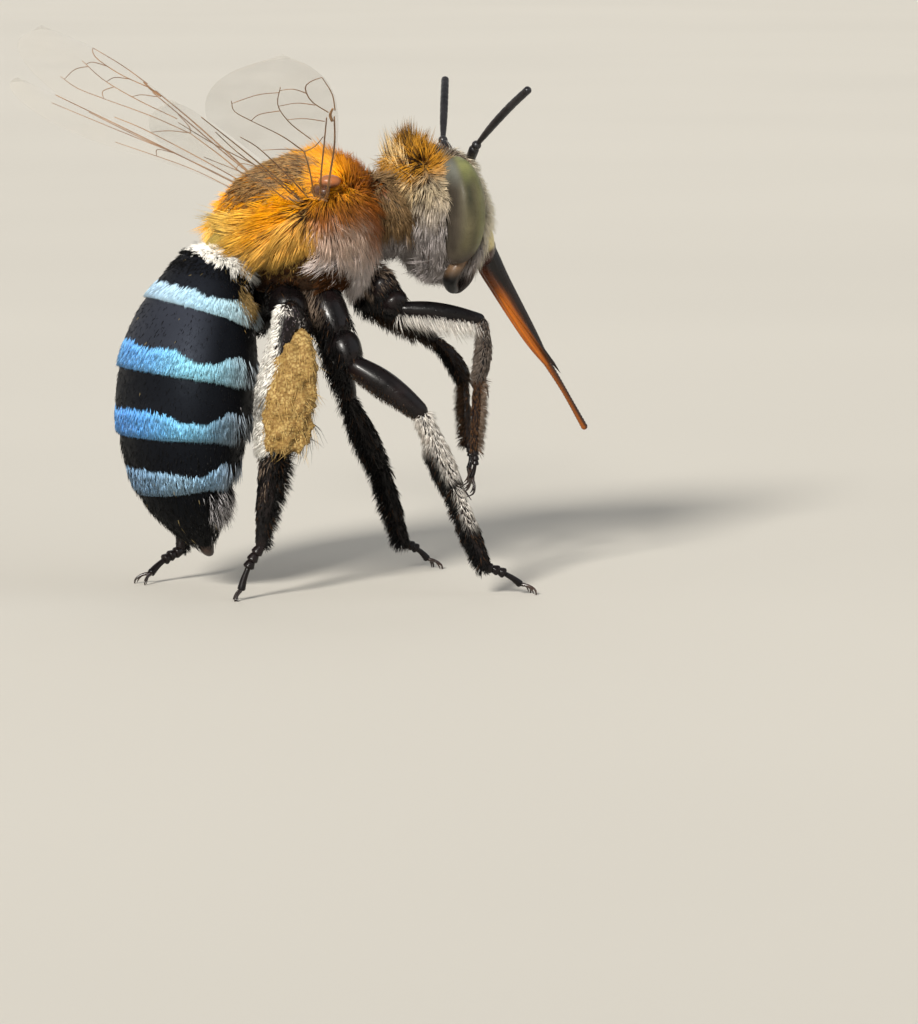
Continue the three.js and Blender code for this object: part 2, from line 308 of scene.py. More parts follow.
# pieces
def addPiece(name, surface, material, replaced=(), colour=None, bakeUv="along"):
    # a mesh object of the surface, in metres, riding on the bee's body
    quads, tris = surface["quads"], surface["tris"]
    surface["points"][:, 2] = np.maximum(surface["points"][:, 2], floorGap)
    mesh = bpy.data.meshes.new(name)
    mesh.vertices.add(len(surface["points"]))
    mesh.vertices.foreach_set("co", (surface["points"] * metre).astype(np.float32).ravel())
    corners = np.concatenate([quads.ravel(), tris.ravel()]).astype(np.int32)
    starts = np.concatenate([np.arange(len(quads)) * 4, len(quads) * 4 + np.arange(len(tris)) * 3])
    mesh.loops.add(len(corners))
    mesh.loops.foreach_set("vertex_index", corners)
    mesh.polygons.add(len(starts))
    mesh.polygons.foreach_set("loop_start", starts.astype(np.int32))
    mesh.update(calc_edges=True)
    mesh.polygons.foreach_set("use_smooth", np.full(len(starts), True))
    uv = np.concatenate([surface["quadUv"].reshape(-1, 2), surface["triUv"].reshape(-1, 2)])
    mesh.uv_layers.new(name=bakeUv).data.foreach_set("uv", uv.astype(np.float32).ravel())
    if colour is not None:
        store = mesh.color_attributes.new("coat", "FLOAT_COLOR", "POINT")
        rgba = np.concatenate([colour, np.ones((len(colour), 1))], 1)
        store.data.foreach_set("color", rgba.astype(np.float32).ravel())
    mesh.materials.append(material)
    mesh.validate()
    piece = bpy.data.objects.new(name, mesh)
    bpy.context.scene.collection.objects.link(piece)
    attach(piece, "root")
    if replaced:
        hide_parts(*replaced)


# shader maths: an expression on these adds its nodes
class Wire:
    def __init__(self, finish, socket):
        self.finish, self.socket = finish, socket

    def maths(self, operation, *values):
        return self.finish.node("Math", {"operation": operation}, dict(enumerate(values)))

    def __add__(self, other):
        return self.maths("ADD", self, other)

    def __mul__(self, other):
        return self.maths("MULTIPLY", self, other)

    def __rsub__(self, other):
        return self.maths("SUBTRACT", other, self)

    __radd__, __rmul__ = __add__, __mul__


class Finish:
    # a material, its shader and the nodes that feed it
    def __init__(self, name, **constants):
        self.material = bpy.data.materials.new(name)
        self.material.use_nodes = True
        self.tree = self.material.node_tree
        self.shader = self.tree.nodes["Principled BSDF"]
        for socket, value in constants.items():
            self.plug(self.shader.inputs[socket.replace("_", " ")], value)

    def node(self, kind, settings=None, inputs=None, output=0):
        made = self.tree.nodes.new("ShaderNode" + kind)
        for key, value in (settings or {}).items():
            setattr(made, key, value)
        for key, value in (inputs or {}).items():
            self.plug(made.inputs[key], value)
        return Wire(self, made.outputs[output])

    def plug(self, socket, value):
        if isinstance(value, Wire):
            self.tree.links.new(value.socket, socket)
        elif hasattr(value, "__len__") and len(value) == 3 and len(socket.default_value) == 4:
            socket.default_value = (*value, 1)
        else:
            socket.default_value = value

    def place(self):
        return self.node("TexCoord", output=3)

    def noise(self, cells, detail=3.0):
        # cells to the millimetre
        return self.node("TexNoise", {}, {
            "Vector": self.place(), "Scale": cells / metre, "Detail": detail, "Roughness": 0.6})

    def cells(self, size, feature="F1", **inputs):
        # cells of that size in millimetres
        return self.node("TexVoronoi", {"feature": feature}, {
            "Vector": self.place(), "Scale": 1 / (size * metre), **inputs})

    def span(self, value, low, high, outLow=0.0, outHigh=1.0):
        return self.node("MapRange", {"interpolation_type": "SMOOTHSTEP"}, {
            "Value": value, "From Min": low, "From Max": high, "To Min": outLow, "To Max": outHigh})

    def cloud(self, cells, low, high):
        # soft patches of low to high
        return self.span(self.noise(cells), 0.3, 0.7, low, high)

    def markings(self):
        # the piece's own colours
        return self.node("Attribute", {"attribute_name": "coat"})

    def shaded(self, shade):
        return self.node("VectorMath", {"operation": "SCALE"}, {0: self.markings(), 3: shade})

    def mix(self, share, a, b):
        return self.node("Mix", {"data_type": "RGBA"}, {0: share, 6: a, 7: b}, output=2)

    def surface(self, **wires):
        for socket, value in wires.items():
            self.plug(self.shader.inputs[socket.replace("_", " ")], value)

    def bump(self, height, strength, depth):
        # depth in millimetres
        self.surface(Normal=self.node("Bump", {},
            {"Strength": strength, "Distance": depth * metre, "Height": height}))


def coatFinish(name, rough, sheen, gloss):
    # hair: its own colour, a little uneven, with a silky gloss
    finish = Finish(name, Specular_IOR_Level=gloss, Sheen_Weight=sheen, Sheen_Roughness=0.4)
    grain = finish.span(finish.noise(9), 0.25, 0.75, 0.88, 1.12)
    finish.surface(Base_Color=finish.shaded(grain), Roughness=finish.cloud(6, rough - 0.1, rough + 0.1))
    return finish.material


def shellFinish(name, dark, light, rough, gloss, pitSize, pitDepth, tint=(1, 1, 1), painted=False,
        shine=0.5):
    # hard cuticle: two close colours, fine pits and a clear gloss over them
    finish = Finish(name, Coat_Weight=gloss, Coat_Roughness=0.16, Specular_Tint=(*tint, 1),
        Specular_IOR_Level=shine)
    patches = finish.span(finish.noise(1.6), 0.35, 0.65)
    height = finish.span(finish.cells(pitSize), 0.05, 0.35) + finish.noise(3) * 0.6
    if painted:  # the piece's own markings in place of the two colours
        dark = light = finish.markings()
    finish.surface(Base_Color=finish.mix(patches, dark, light),
        Roughness=finish.cloud(4, rough - 0.08, rough + 0.1))
    finish.bump(height, 0.6, pitDepth)
    return finish.material


def markedFinish(name, shade, rough, cells, detail, strength, depth, **constants):
    # the piece's own markings, a little uneven, over a fine relief
    finish = Finish(name, **constants)
    finish.surface(Base_Color=finish.shaded(finish.cloud(*shade)), Roughness=finish.cloud(*rough))
    finish.bump(finish.noise(cells, detail), strength, depth)
    return finish.material


def eyeFinish():
    # the eye's own streaks under a clear gloss, with its facets as a fine relief
    finish = Finish("eye", Coat_Weight=0.05, Coat_Roughness=0.35, Specular_IOR_Level=0.2)
    facet = 0.034
    rim = finish.span(finish.cells(facet, "DISTANCE_TO_EDGE", Randomness=0.35), 0.02, 0.16)
    shade = (0.82 + rim * 0.18) * finish.cloud(3, 0.85, 1.12)
    finish.surface(Base_Color=finish.shaded(shade), Roughness=finish.cloud(5, 0.44, 0.56))
    finish.bump(rim, 0.5, 0.006)
    return finish.material


def tongueFinish():
    # horn: amber where it is thin, brown in long streaks where it is thick
    finish = Finish("tongue", Coat_Weight=0.2, Coat_Roughness=0.25, Specular_IOR_Level=0.3,
        Subsurface_Weight=0.15, Subsurface_Radius=(0.0003, 0.00012, 0.00004))
    along = finish.node("UVMap", {"uv_map": "along"})
    squeezed = finish.node("Mapping", {}, {"Vector": along, "Scale": (7, 1.2, 1)})
    streaks = finish.node("TexNoise", {}, {"Vector": squeezed, "Scale": 2.2, "Detail": 3})
    streaks = finish.span(streaks, 0.4, 0.62)
    shade = finish.span(streaks, 0, 1, 0.75, 1.1)
    finish.surface(Base_Color=finish.shaded(shade), Roughness=finish.cloud(6, 0.22, 0.38))
    finish.bump(streaks, 0.4, 0.02)
    return finish.material


def pollenFinish():
    # a packed mass of grains, waxy and uneven in colour
    finish = Finish("pollen", Subsurface_Weight=0.12, Subsurface_Radius=(0.0002, 0.00014, 0.00006))
    clumps = finish.span(finish.noise(3.2, 4), 0.36, 0.66)
    grains = finish.cells(0.06)
    pale = finish.mix(clumps, paint(140, 112, 56), paint(172, 146, 90))
    finish.surface(Base_Color=finish.mix(finish.span(grains, 0.2, 0.75), pale, paint(120, 90, 40)),
        Roughness=0.8)
    finish.bump(1 - grains, 0.5, 0.02)
    return finish.material


def wingFinish():
    # a clear membrane, smoky towards its edge and finely crinkled
    finish = Finish("wing_membrane", Coat_Weight=0.3, Coat_Roughness=0.1, Roughness=0.22)
    smoke = finish.span(finish.noise(0.7, 2), 0.3, 0.7, 0.06, 0.12)
    smoky = finish.mix(finish.noise(1.2), paint(196, 184, 160), paint(170, 166, 160))
    finish.surface(Base_Color=smoky, Alpha=smoke)
    finish.bump(finish.noise(4, 3), 0.4, 0.02)
    return finish.material


coatMaterial = coatFinish("coat", 0.56, 0.02, 0.13)
darkCoatMaterial = coatFinish("dark_coat", 0.42, 0.0, 0.14)
bandMaterial = coatFinish("band_coat", 0.4, 0.12, 0.4)
skinMaterial = markedFinish("skin", (5, 0.8, 1.15), (7, 0.5, 0.75), 14, 4, 0.7, 0.03,
    Specular_IOR_Level=0.35)
eyeMaterial = eyeFinish()
faceMaterial = markedFinish("face", (8, 0.88, 1.1), (6, 0.35, 0.5), 16, 3, 0.4, 0.02,
    Coat_Weight=0.15, Coat_Roughness=0.3, Specular_IOR_Level=0.3)
tongueMaterial = tongueFinish()
pollenMaterial = pollenFinish()
wingMaterial = wingFinish()
plateMaterial = shellFinish("abdomen_shell", (0.004, 0.004, 0.006), (0.009, 0.009, 0.014), 0.54, 0.0, 0.03,
    0.012, (0.66, 0.8, 1), True, 0.09)
legMaterial = shellFinish("leg_shell", (0.003, 0.0024, 0.0026), (0.008, 0.005, 0.005), 0.3, 0.1, 0.05, 0.004,
    shine=0.16)
brownMaterial = shellFinish("brown_shell", paint(24, 13, 9), paint(50, 29, 18), 0.3, 0.25, 0.05, 0.004)
feelerMaterial = shellFinish("feeler_shell", (0.006, 0.005, 0.006), (0.016, 0.014, 0.015), 0.36, 0.2, 0.02,
    0.006, (0.9, 0.94, 1), shine=0.35)
veinMaterial = shellFinish("wing_vein", paint(110, 78, 50), paint(150, 112, 74), 0.45, 0.1, 0.05, 0.003)
tegulaMaterial = shellFinish("tegula_shell", paint(140, 84, 50), paint(200, 150, 118), 0.4, 0.14, 0.05,
    0.005, painted=True)
print("finishes made")


# the body's forms, as in the solids, coat and all
originX = 0.9  # from the middle of the thorax to the middle of the outline
bodyForms = {
    "thorax": {"centre": (-0.1 - originX, 0, 7.62), "reach": (1.82, 2.0, 2.05, 1.7, 1.98), "pitch": 12,
        "power": 2.05, "coat": 0.4},
    "head": {"centre": (2.92 - originX, 0, 7.85), "reach": (1.06, 1.08, 1.85, 1.6, 1.42), "pitch": 11,
        "power": 2.4, "coat": 0.28},
    "eye": {"centre": (2.98 - originX, -1.6, 7.86), "reach": (0.5, 0.46, 0.42, 1.12, 1.1), "pitch": 9,
        "power": 2.1},
    "clypeus": {"centre": (3.72 - originX, 0, 7.3), "reach": (0.5, 0.4, 0.72, 0.72, 0.75), "pitch": 14},
    "tegula": {"centre": (-0.02 - originX, -1.86, 8.62), "reach": (0.34, 0.34, 0.26, 0.22, 0.24)},
}
thoraxForm, headForm, eyeForm = (bodyForms[key] for key in ("thorax", "head", "eye"))
for key, form in bodyForms.items():
    node = key if key in ("thorax", "head", "clypeus") else key + "_right"
    low, high = (np.array(corner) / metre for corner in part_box(node))
    share = np.linspace(0, 1, 40)
    own = blobShape(form)(np.tile(share, 40), np.repeat(share, 40))
    gap = float(np.abs(np.concatenate([own.min(0) - low, own.max(0) - high])).max())
    print(key, "is within", round(gap, 3), "mm of its solid's box")

# the joints of each leg, as in the solids: top of the hip, hip, knee, ankle, heel and toe
legJoints = {
    "front_right": [[1.3, -0.55, 6.6], [1.75, -0.95, 5.84], [3.38, -1.5, 5.62], [3.31, -1.45, 4.38],
        [3.25, -1.36, 2.9], [3.2, -1.3, 2.3]],
    "front_left": [[1.3, 0.55, 6.6], [1.8, 0.95, 5.75], [3.38, 1.4, 5.0], [4.0, 1.3, 4.15],
        [4.03, 1.18, 2.8], [4.03, 1.1, 2.25]],
    "middle_right": [[0.1, -0.6, 6.3], [0.5, -1.5, 4.79], [1.82, -2.2, 3.76], [2.4, -2.45, 2.26],
        [3.03, -2.6, 0.6], [3.82, -2.65, 0.2]],
    "middle_left": [[0.2, 0.6, 6.3], [0.85, 1.1, 5.3], [1.56, 1.7, 3.78], [2.4, 2.1, 2.26], [3.0, 2.35, 0.6],
        [3.6, 2.45, 0.2]],
    "hind_right": [[-0.75, -0.7, 6.35], [-0.55, -1.3, 5.3], [-1.0, -1.9, 6.0], [-1.32, -1.85, 3.05],
        [-1.55, -1.75, 1.1], [-1.95, -1.65, 0.2]],
    "hind_left": [[-0.75, 0.7, 6.35], [-0.55, 1.4, 5.4], [-1.2, 2.2, 5.7], [-1.7, 2.35, 2.6],
        [-2.05, 2.05, 0.65], [-2.8, 1.85, 0.2]],
}
legJoints = {leg: np.array(joints) - [originX, 0, 0] for leg, joints in legJoints.items()}
limbNames = ("hip", "femur", "tibia", "basitarsus", "foot")
# half-thickness of the bare limbs at even stations, and how many times wider they are from the side
legForms = {
    "front": {"hip": ((0.34, 0.3, 0.24), 1), "femur": ((0.17, 0.24, 0.22, 0.14), 1),
        "tibia": ((0.12, 0.17, 0.15), 1), "basitarsus": ((0.1, 0.13, 0.1), 1)},
    "middle": {"hip": ((0.4, 0.36, 0.28), 1), "femur": ((0.2, 0.28, 0.26, 0.17), 1),
        "tibia": ((0.14, 0.2, 0.24, 0.2), 1), "basitarsus": ((0.15, 0.19, 0.13), 1)},
    "hind": {"hip": ((0.42, 0.36, 0.3), 1), "femur": ((0.22, 0.29, 0.27, 0.2), 1),
        "tibia": ((0.2, 0.28, 0.34, 0.24), 1.2), "basitarsus": ((0.24, 0.25, 0.15), 1.2)},
}


# where the fur is thick or the limb slimmer, the bare limb's own half-widths
bareForms = {
    "front": {"femur": (0.15, 0.19, 0.17, 0.11), "tibia": (0.08, 0.15, 0.13),
        "basitarsus": (0.08, 0.1, 0.07)},
    "middle": {"tibia": (0.13, 0.19, 0.22, 0.18), "basitarsus": (0.15, 0.17, 0.11)},
    "hind": {"basitarsus": (0.2, 0.17, 0.09)},
}


femurBow, frontTibiaBow, limbColumns = 0.06, 0.09, 24


def bowed(path, bow):
    # five points with the middle moved by bow and the ends kept
    return [p + bow * 4 * s * (1 - s) for p, s in zip(path, (0, 0.25, 0.5, 0.75, 1))]


def limbPath(start, end, first, last, bow=0.0):
    # the straight line from joint to joint, carried past each by a share of its thickness, bowed upwards
    along = unit(end - start)
    inner = [start * 0.75 + end * 0.25, (start + end) / 2, start * 0.25 + end * 0.75]
    lift = [0, 0, 1.0] - along * along[2]
    return bowed([start - along * first * 0.5, *inner, end + along * last * 0.5], lift * bow)


def limbSurface(leg, limb, stations):
    kind = leg.split("_")[0]
    radii, wide = legForms[kind][limb]
    start, end = legJoints[leg][limbNames.index(limb):][:2]
    radii = np.array(bareForms[kind].get(limb, radii))
    path = limbPath(start, end, radii[0], radii[-1], femurBow if limb == "femur" else 0.0)
    if kind == "front" and limb == "tibia":
        path = bowed(path, np.array([frontTibiaBow, 0, 0]))
    return tube(path, radii, limbColumns, stations, (1, 0, 0), wide)


def welded(surfaces, voxel, rounds):
    # the surfaces as one closed skin: a grid of cubes is laid over them, and its corners are eased
    whole = joined(surfaces, tiled=False)
    mesh = bpy.data.meshes.new("raw")
    mesh.from_pydata(whole["points"].tolist(), [], trianglesOf(whole)[0].tolist())
    raw = bpy.data.objects.new("raw", mesh)
    bpy.context.scene.collection.objects.link(raw)
    remesh = raw.modifiers.new("weld", "REMESH")
    remesh.mode, remesh.voxel_size = "VOXEL", voxel
    ease = raw.modifiers.new("ease", "SMOOTH")
    ease.factor, ease.iterations = 0.5, rounds
    bpy.context.view_layer.update()
    done = raw.evaluated_get(bpy.context.evaluated_depsgraph_get()).to_mesh()
    points = np.empty(len(done.vertices) * 3)
    done.vertices.foreach_get("co", points)
    corners = np.empty(len(done.loops), int)
    done.loops.foreach_get("vertex_index", corners)
    size = np.empty(len(done.polygons), int)
    done.polygons.foreach_get("loop_total", size)
    start = np.empty(len(done.polygons), int)
    done.polygons.foreach_get("loop_start", start)
    quads = corners[start[size == 4][:, None] + np.arange(4)]
    tris = corners[start[size == 3][:, None] + np.arange(3)]
    bpy.data.objects.remove(raw)
    bpy.data.meshes.remove(mesh)
    return {"points": points.reshape(-1, 3), "quads": quads, "tris": tris,
            "quadUv": np.zeros((len(quads), 4, 2)), "triUv": np.zeros((len(tris), 3, 2))}


# the colours that the skin and its coat share
hues = {
    "orange": paint(250, 173, 8), "gold": paint(230, 196, 92), "deep": paint(222, 122, 8),
    "straw": paint(198, 160, 84), "cream": paint(252, 214, 144), "rust": paint(156, 96, 40),
    "pleura": paint(206, 180, 162), "fog": paint(216, 206, 203), "grey": paint(200, 192, 186),
    "white": paint(250, 247, 240), "silver": paint(226, 186, 122), "chalk": paint(216, 210, 202),
    "brown": paint(84, 58, 36), "dark": paint(40, 27, 16), "black": paint(8, 7, 7),
    "mouse": paint(124, 108, 94), "ash": paint(106, 96, 88),
}
fanRoot = np.array([-0.5 - originX, 1.75, 8.05])


def fromFan(points):
    # the way from the middle of the fan of hair, how far, and its angle up from straight back
    side = np.where(points[:, 1] > 0, 1, -1)
    middle = np.tile(fanRoot, (len(points), 1))
    middle[:, 1] *= side
    way = points - middle
    return way, np.linalg.norm(way, axis=1), np.arctan2(way[:, 2], -way[:, 0])


def thoraxMarks(points):
    # orange above and round the wings, golden behind, straw below the fan, rust and grey ahead
    x, _, z = placeIn(thoraxForm, points).T
    _, away, angle = fromFan(points)
    behind = fall(x, -0.2, 0.02)
    hue = np.tile(hues["orange"], (len(points), 1))
    hue = layered(hue,
        ("gold", ramp(away, 0.5, 1.5) * fall(z, 0.3, 0.5) * behind
            * (0.35 + 0.65 * ramp(-angle, -0.1, 0.2))),
        ("straw", behind * ramp(-angle, 0.5, 0.85) * (np.abs(angle) < 2.6) * (angle < 0) * 0.85),
        ("deep", ramp(x, 0.45, 0.8) * fall(z, 0.45, 0.75)))
    ahead = ramp(x, -0.2, -0.02)
    hue = layered(hue,
        ("rust", ahead * fall(z, 0.26, 0.46) * fall(x, 0.55, 0.85)), ("pleura", ahead * fall(z, 0.0, 0.24)),
        ("fog", ahead * fall(z, -0.4, -0.05)))
    # brown low behind the chest: dark skin by the leg bases, and painted shade under the fan
    return blend(hue, hues["brown"], (1 - ahead) * fall(z, -0.5, -0.36))


def headMarks(points):
    # golden over the crown, cream behind it, tan and then grey down the cheeks, pale on the face
    x, _, z = placeIn(headForm, points).T
    hue = blend(hues["fog"] * 0.53, paint(182, 166, 138), ramp(z, -0.1, 0.4))
    hue = layered(hue,
        (hues["cream"] * 0.9, fall(x, -0.64, -0.5) * ramp(z, 0.3, 0.5)),
        (blend(hues["gold"], paint(240, 158, 20), 0.75) * 0.62,
            ramp(z, 0.45, 0.65) * ramp(x, -0.62, -0.48) * fall(x, -0.25, 0.0)),
        ("mouse", ramp(z, 0.55, 0.7) * ramp(x, -0.1, 0.1) * fall(x, 0.35, 0.5)))
    return blend(hue, paint(246, 238, 218), ramp(x, 0.35, 0.5))


neckShape = tubeShape([(-0.1, 0, 7.75), (0.75, 0, 7.8), (1.6, 0, 7.85)], (0.95, 0.78, 0.66))
# trunk: thorax, neck, head and waist as one skin
trunk = [blob(thoraxForm, 60, 48), blob(headForm, 56, 44), closedSurface(neckShape, 24, 12),
    tube([(-2.1, 0, 7.3), (-2.6, 0, 7.0), (-2.95, 0, 6.5)], (0.7, 0.5, 0.6), 24, 12)]
skinCubes, skinRounds, skinShade = 0.05, 4, 0.4  # the skin is darker than the hair over it
skin = welded(trunk, skinCubes, skinRounds)
thoraxShare = fall(skin["points"][:, 0], 0.65, 0.95)[:, None]
marks = thoraxMarks(skin["points"]) * thoraxShare + headMarks(skin["points"]) * (1 - thoraxShare)
addPiece("bee_skin", skin, skinMaterial, ["thorax", "head", "neck"], marks * skinShade)
print("trunk skin made", len(skin["points"]))

# abdomen: six overlapping plates along one bent line
abdomenForm = {
    "line": [
        (-2.85, 0, 6.82), (-3.074, 0, 6.087), (-3.293, 0, 5.353), (-3.444, 0, 4.603), (-3.531, 0, 3.842),
        (-3.56, 0, 3.076), (-3.499, 0, 2.313), (-3.283, 0, 1.579), (-3.02, 0, 0.86)],
    "ringEnds": (0.165, 0.384, 0.585, 0.755, 0.88, 0.985), "thickestAt": 0.42, "frontShare": 0.52,
    "halfWidth": 1.95, "halfDepth": 1.43, "coat": 0.07, "lip": 0.035, "dome": 0.28, "long": 6.13,
}


def tailward(t):
    # the way the line runs at t
    line = abdomenForm["line"]
    return unit(spline(line, np.minimum(t + 0.01, 1)) - spline(line, np.maximum(t - 0.01, 0)))


def aroundShare(u):
    # 0 along the middle of the back, 1 along the middle of the belly
    return 1 - np.abs(2 * (u % 1) - 1)


bands = [  # for each: how wide in mm, and its colours from the back to the belly
    {"wide": 0.4, "hues": [(186, 218, 244), (193, 226, 246), (186, 224, 244), (180, 212, 224),
        (190, 205, 212)]},
    {"wide": 0.52, "hues": [(102, 170, 236), (118, 190, 246), (156, 226, 252), (144, 188, 206),
        (170, 178, 184)]},
    {"wide": 0.55, "hues": [(88, 156, 230), (102, 176, 240), (130, 202, 240), (108, 144, 168),
        (140, 148, 156)]},
    {"wide": 0.5, "hues": [(126, 162, 198), (134, 172, 204), (148, 184, 210), (138, 176, 206),
        (160, 170, 182)]},
]


def bandHue(i, u):
    palette = np.array([paint(*hue) for hue in bands[i]["hues"]])
    return np.clip(spline(palette, np.clip(aroundShare(u) / 0.72, 0, 1)), 0, 1)


def bandCover(i, u, t, points, inset=0.0):
    # how much of the skin the band covers: straight behind and ragged ahead, arched low on the flank
    share = aroundShare(u)
    end = abdomenForm["ringEnds"][i] - 0.004
    wide = (bands[i]["wide"] * (1 - (0.3 if i else 0.1) * peak(share, 0.42, 0.1)
        + 0.12 * ramp(share, 0.5, 0.62)))
    wide = wide + 0.05 * lumps(points, 0.11, 8) + 0.05 * lumps(points, 0.35, 9) - inset
    ahead = (end - t) * abdomenForm["long"]
    return ramp(wide - ahead, -0.02, 0.05) * (ahead > -0.01) * (1 - 0.96 * ramp(share, 0.56, 0.68))


def abdomenShare(t):
    # the half-size as a share of the largest: a shallow arch, then a rounded point behind it
    thick, front = abdomenForm["thickestAt"], abdomenForm["frontShare"]
    ahead = 1 - (1 - front) * (np.clip(thick - t, 0, 1) / thick) ** 2
    behind = np.clip(1 - ((t - thick) / (1 - thick)) ** 2, 0, 1) ** 0.8
    return np.where(t < thick, ahead, behind)


def abdomenPoint(u, t, grow):
    # u runs round from the middle of the back, t along the line, grow stands it off the solid's form
    along = tailward(t)
    wide = np.tile([0, -1.0, 0], (len(u), 1))
    deep = np.cross(wide, along)
    share = abdomenShare(t)
    angle = 2 * np.pi * u
    back = -np.sign(deep[:, :1]) * deep
    w = np.maximum(abdomenForm["halfWidth"] * share + grow, 0.001) * np.sin(angle)
    d = np.maximum(abdomenForm["halfDepth"] * share + grow, 0.001) * np.cos(angle)
    return spline(abdomenForm["line"], t) + w[:, None] * wide + d[:, None] * back


def plateStand(s):
    # how far a plate stands off the solid's form at share s of its length: it swells towards its lip
    coat, lip = abdomenForm["coat"], abdomenForm["lip"]
    return -coat - 0.01 + (lip * 0.8 + 0.01) * s + 0.012 * np.sin(np.pi * np.clip(s, 0, 1))


def plateShape(begin, end, last):
    # from a pole inside, out to the front edge under the plate before, back along the outside,
    # over a thin lip and in again
    coat, lip = abdomenForm["coat"], abdomenForm["lip"]
    v = np.array([0, 0.05, 0.12, 0.2, 0.9, 0.93, 0.95, 0.97, 1.0])
    t = np.array([begin - 0.02, begin - 0.03, begin - 0.03, begin, end - 0.003, end, end - 0.001, end - 0.02,
        end - 0.02])
    grow = np.array([-3.0, -0.8, -coat - 0.1, -coat - 0.01, -coat + lip * 0.8, -coat + lip * 0.5,
        -coat - 0.06, -coat - 0.16, -3.0])
    if last:
        t = np.array([begin - 0.02, begin - 0.03, begin - 0.03, begin, 0.975, 0.985, 0.99, 0.995, 0.995])
        grow = np.array([-3.0, -0.8, -coat - 0.1, -coat - 0.01, -coat, -coat, -coat, -coat, -3.0])

    def shape(u, w):
        if begin < 0.01:  # the first plate starts as a dome instead
            turn = np.clip(w / 0.2, 0, 1) * np.pi / 2
            start = np.zeros(len(u))
            root, along = spline(abdomenForm["line"], start), tailward(start)
            front = abdomenPoint(u, start, -coat) - root
            dome = (root + front * np.sin(turn)[:, None]
                - along * (abdomenForm["dome"] * np.cos(turn))[:, None])
        tAt, growAt = np.interp(w, v, t), np.interp(w, v, grow)
        if not last:
            growAt = np.where(np.abs(w - 0.55) < 0.35, plateStand((w - 0.2) / 0.7), growAt)
        points = abdomenPoint(u, np.clip(tAt, 0.0, 0.999), growAt)
        centre = spline(abdomenForm["line"], np.clip(tAt, 0, 0.999))
        points = np.where((growAt < -2.9)[:, None], centre, points)
        return np.where((w < 0.2)[:, None], dome, points) if begin < 0.01 else points

    return shape


plateColumns = 120
underInset, underShade = 0.12, 0.45  # the blue under a band's hair is narrower than the band, and darker
plateStations = np.concatenate([np.linspace(0, 0.16, 8), np.linspace(0.2, 0.9, 30),
    [0.915, 0.93, 0.94, 0.95, 0.97, 1.0]])
paintedPlateSheen = (0.25, 1.0, 0.12, 0.0, 0.0, 0.0)  # how strongly a painted blue sheen lies over each plate's back
begin = 0.0
for i, end in enumerate(abdomenForm["ringEnds"]):
    surface = closedSurface(plateShape(begin, end, i == 5), plateColumns, plateStations)
    points = surface["points"]
    u = np.concatenate([np.tile(np.arange(plateColumns) / plateColumns, len(plateStations) - 2), [0, 0]])
    w = np.concatenate([np.repeat(plateStations[1:-1], plateColumns), [0, 1]])
    t = begin + (end - begin) * (w - 0.2) / 0.7
    sheen = 0.5 + 0.5 * lumps(points, 0.9, 12)
    # painted sheen: a bluish near-black over the back of the plates, patchy
    paintedSheen = paintedPlateSheen[i] * fall(aroundShare(u), 0.3, 0.52) * (0.5 + 0.5 * sheen)
    hue = blend(np.array([0.001, 0.001, 0.0012]), np.array([0.003, 0.0032, 0.0045]), sheen)
    hue = blend(hue, np.array([0.028, 0.031, 0.042]), paintedSheen)
    if i < 4:
        cover = bandCover(i, u, t, points, underInset) * (w > 0.2) * (w < 0.91)
        hue = blend(hue, bandHue(i, u) * underShade, cover)
    addPiece("abdomen_plate_" + str(i + 1), surface, plateMaterial,
        ["abdomen_" + str(i + 1)], hue)
    begin = end
tail = tube([(-3.11, 0, 1.12), (-3.03, 0, 0.9), (-2.93, 0, 0.76)], (0.22, 0.15, 0.06), 16, 10)
addPiece("abdomen_tail_tip", tail, brownMaterial)
print("abdomen made")

# head: eyes, small eyes, face shield, lip, jaws, feelers and tongue
eyeDome = {**eyeForm, "centre": (2.9 - originX, -1.15, 7.87), "reach": (0.59, 0.34, 0.86, 1.14, 1.1),
    "pitch": 1, "power": 2.1}
eyeField = {**eyeForm, "centre": (2.66 - originX, -1.56, 7.84), "reach": (0.74, 0.45, 0.42, 1.12, 1.1),
    "pitch": 1}


def eyeDent(points):
    # the rear edge is squared off: x / sqrt(1 - 0.75 z^2) behind the middle
    z = np.clip(np.abs(points[:, 2]) / 1.15, 0, 0.98)
    x = np.where(points[:, 0] < 0, points[:, 0] / np.sqrt(1 - 0.75 * z**2), points[:, 0])
    return np.stack([np.maximum(x, -eyeDome["reach"][1]), points[:, 1], points[:, 2]], 1)


eyeSurface = closedSurface(blobShape(eyeDome, 0.0, eyeDent), 72, 60)
place = placeIn(eyeField, eyeSurface["points"])
x, z = place[:, 0], place[:, 2]
eyeHue = blend(paint(58, 52, 44), paint(86, 80, 58), ramp(x, 0.0, 0.35))
eyeHue = blend(eyeHue, paint(116, 114, 74), ramp(x, 0.5, 0.85))
long = z + 0.25 * lumps(eyeSurface["points"] * [3, 1, 0.4], 0.3, 3)
streak = np.exp(-((x - 0.42 + 0.12 * z) / 0.13) ** 2) * ramp(long, -0.3, 0.35) * fall(z, 0.7, 0.95)
eyeHue = layered(eyeHue,
    (paint(44, 44, 30), 0.85 * streak),
    (paint(126, 128, 80), ramp(z, 0.45, 0.9) * ramp(x, 0.1, 0.35) * 0.8),
    # the pale grey over the upper rear is a painted reflection
    (paint(104, 106, 98), ramp(z, 0.4, 0.85) * fall(x, 0.05, 0.3) * 0.8),
    (paint(74, 66, 56), fall(z, -0.95, -0.55)))
eyeHue = eyeHue * (1 + 0.2 * lumps(eyeSurface["points"] * [1, 1, 0.25], 0.1, 5))[:, None]
addPiece("eye_right_dome", eyeSurface, eyeMaterial, ["eye_right"], eyeHue)
addPiece("eye_left_dome", mirrored(eyeSurface), eyeMaterial, ["eye_left"], eyeHue)

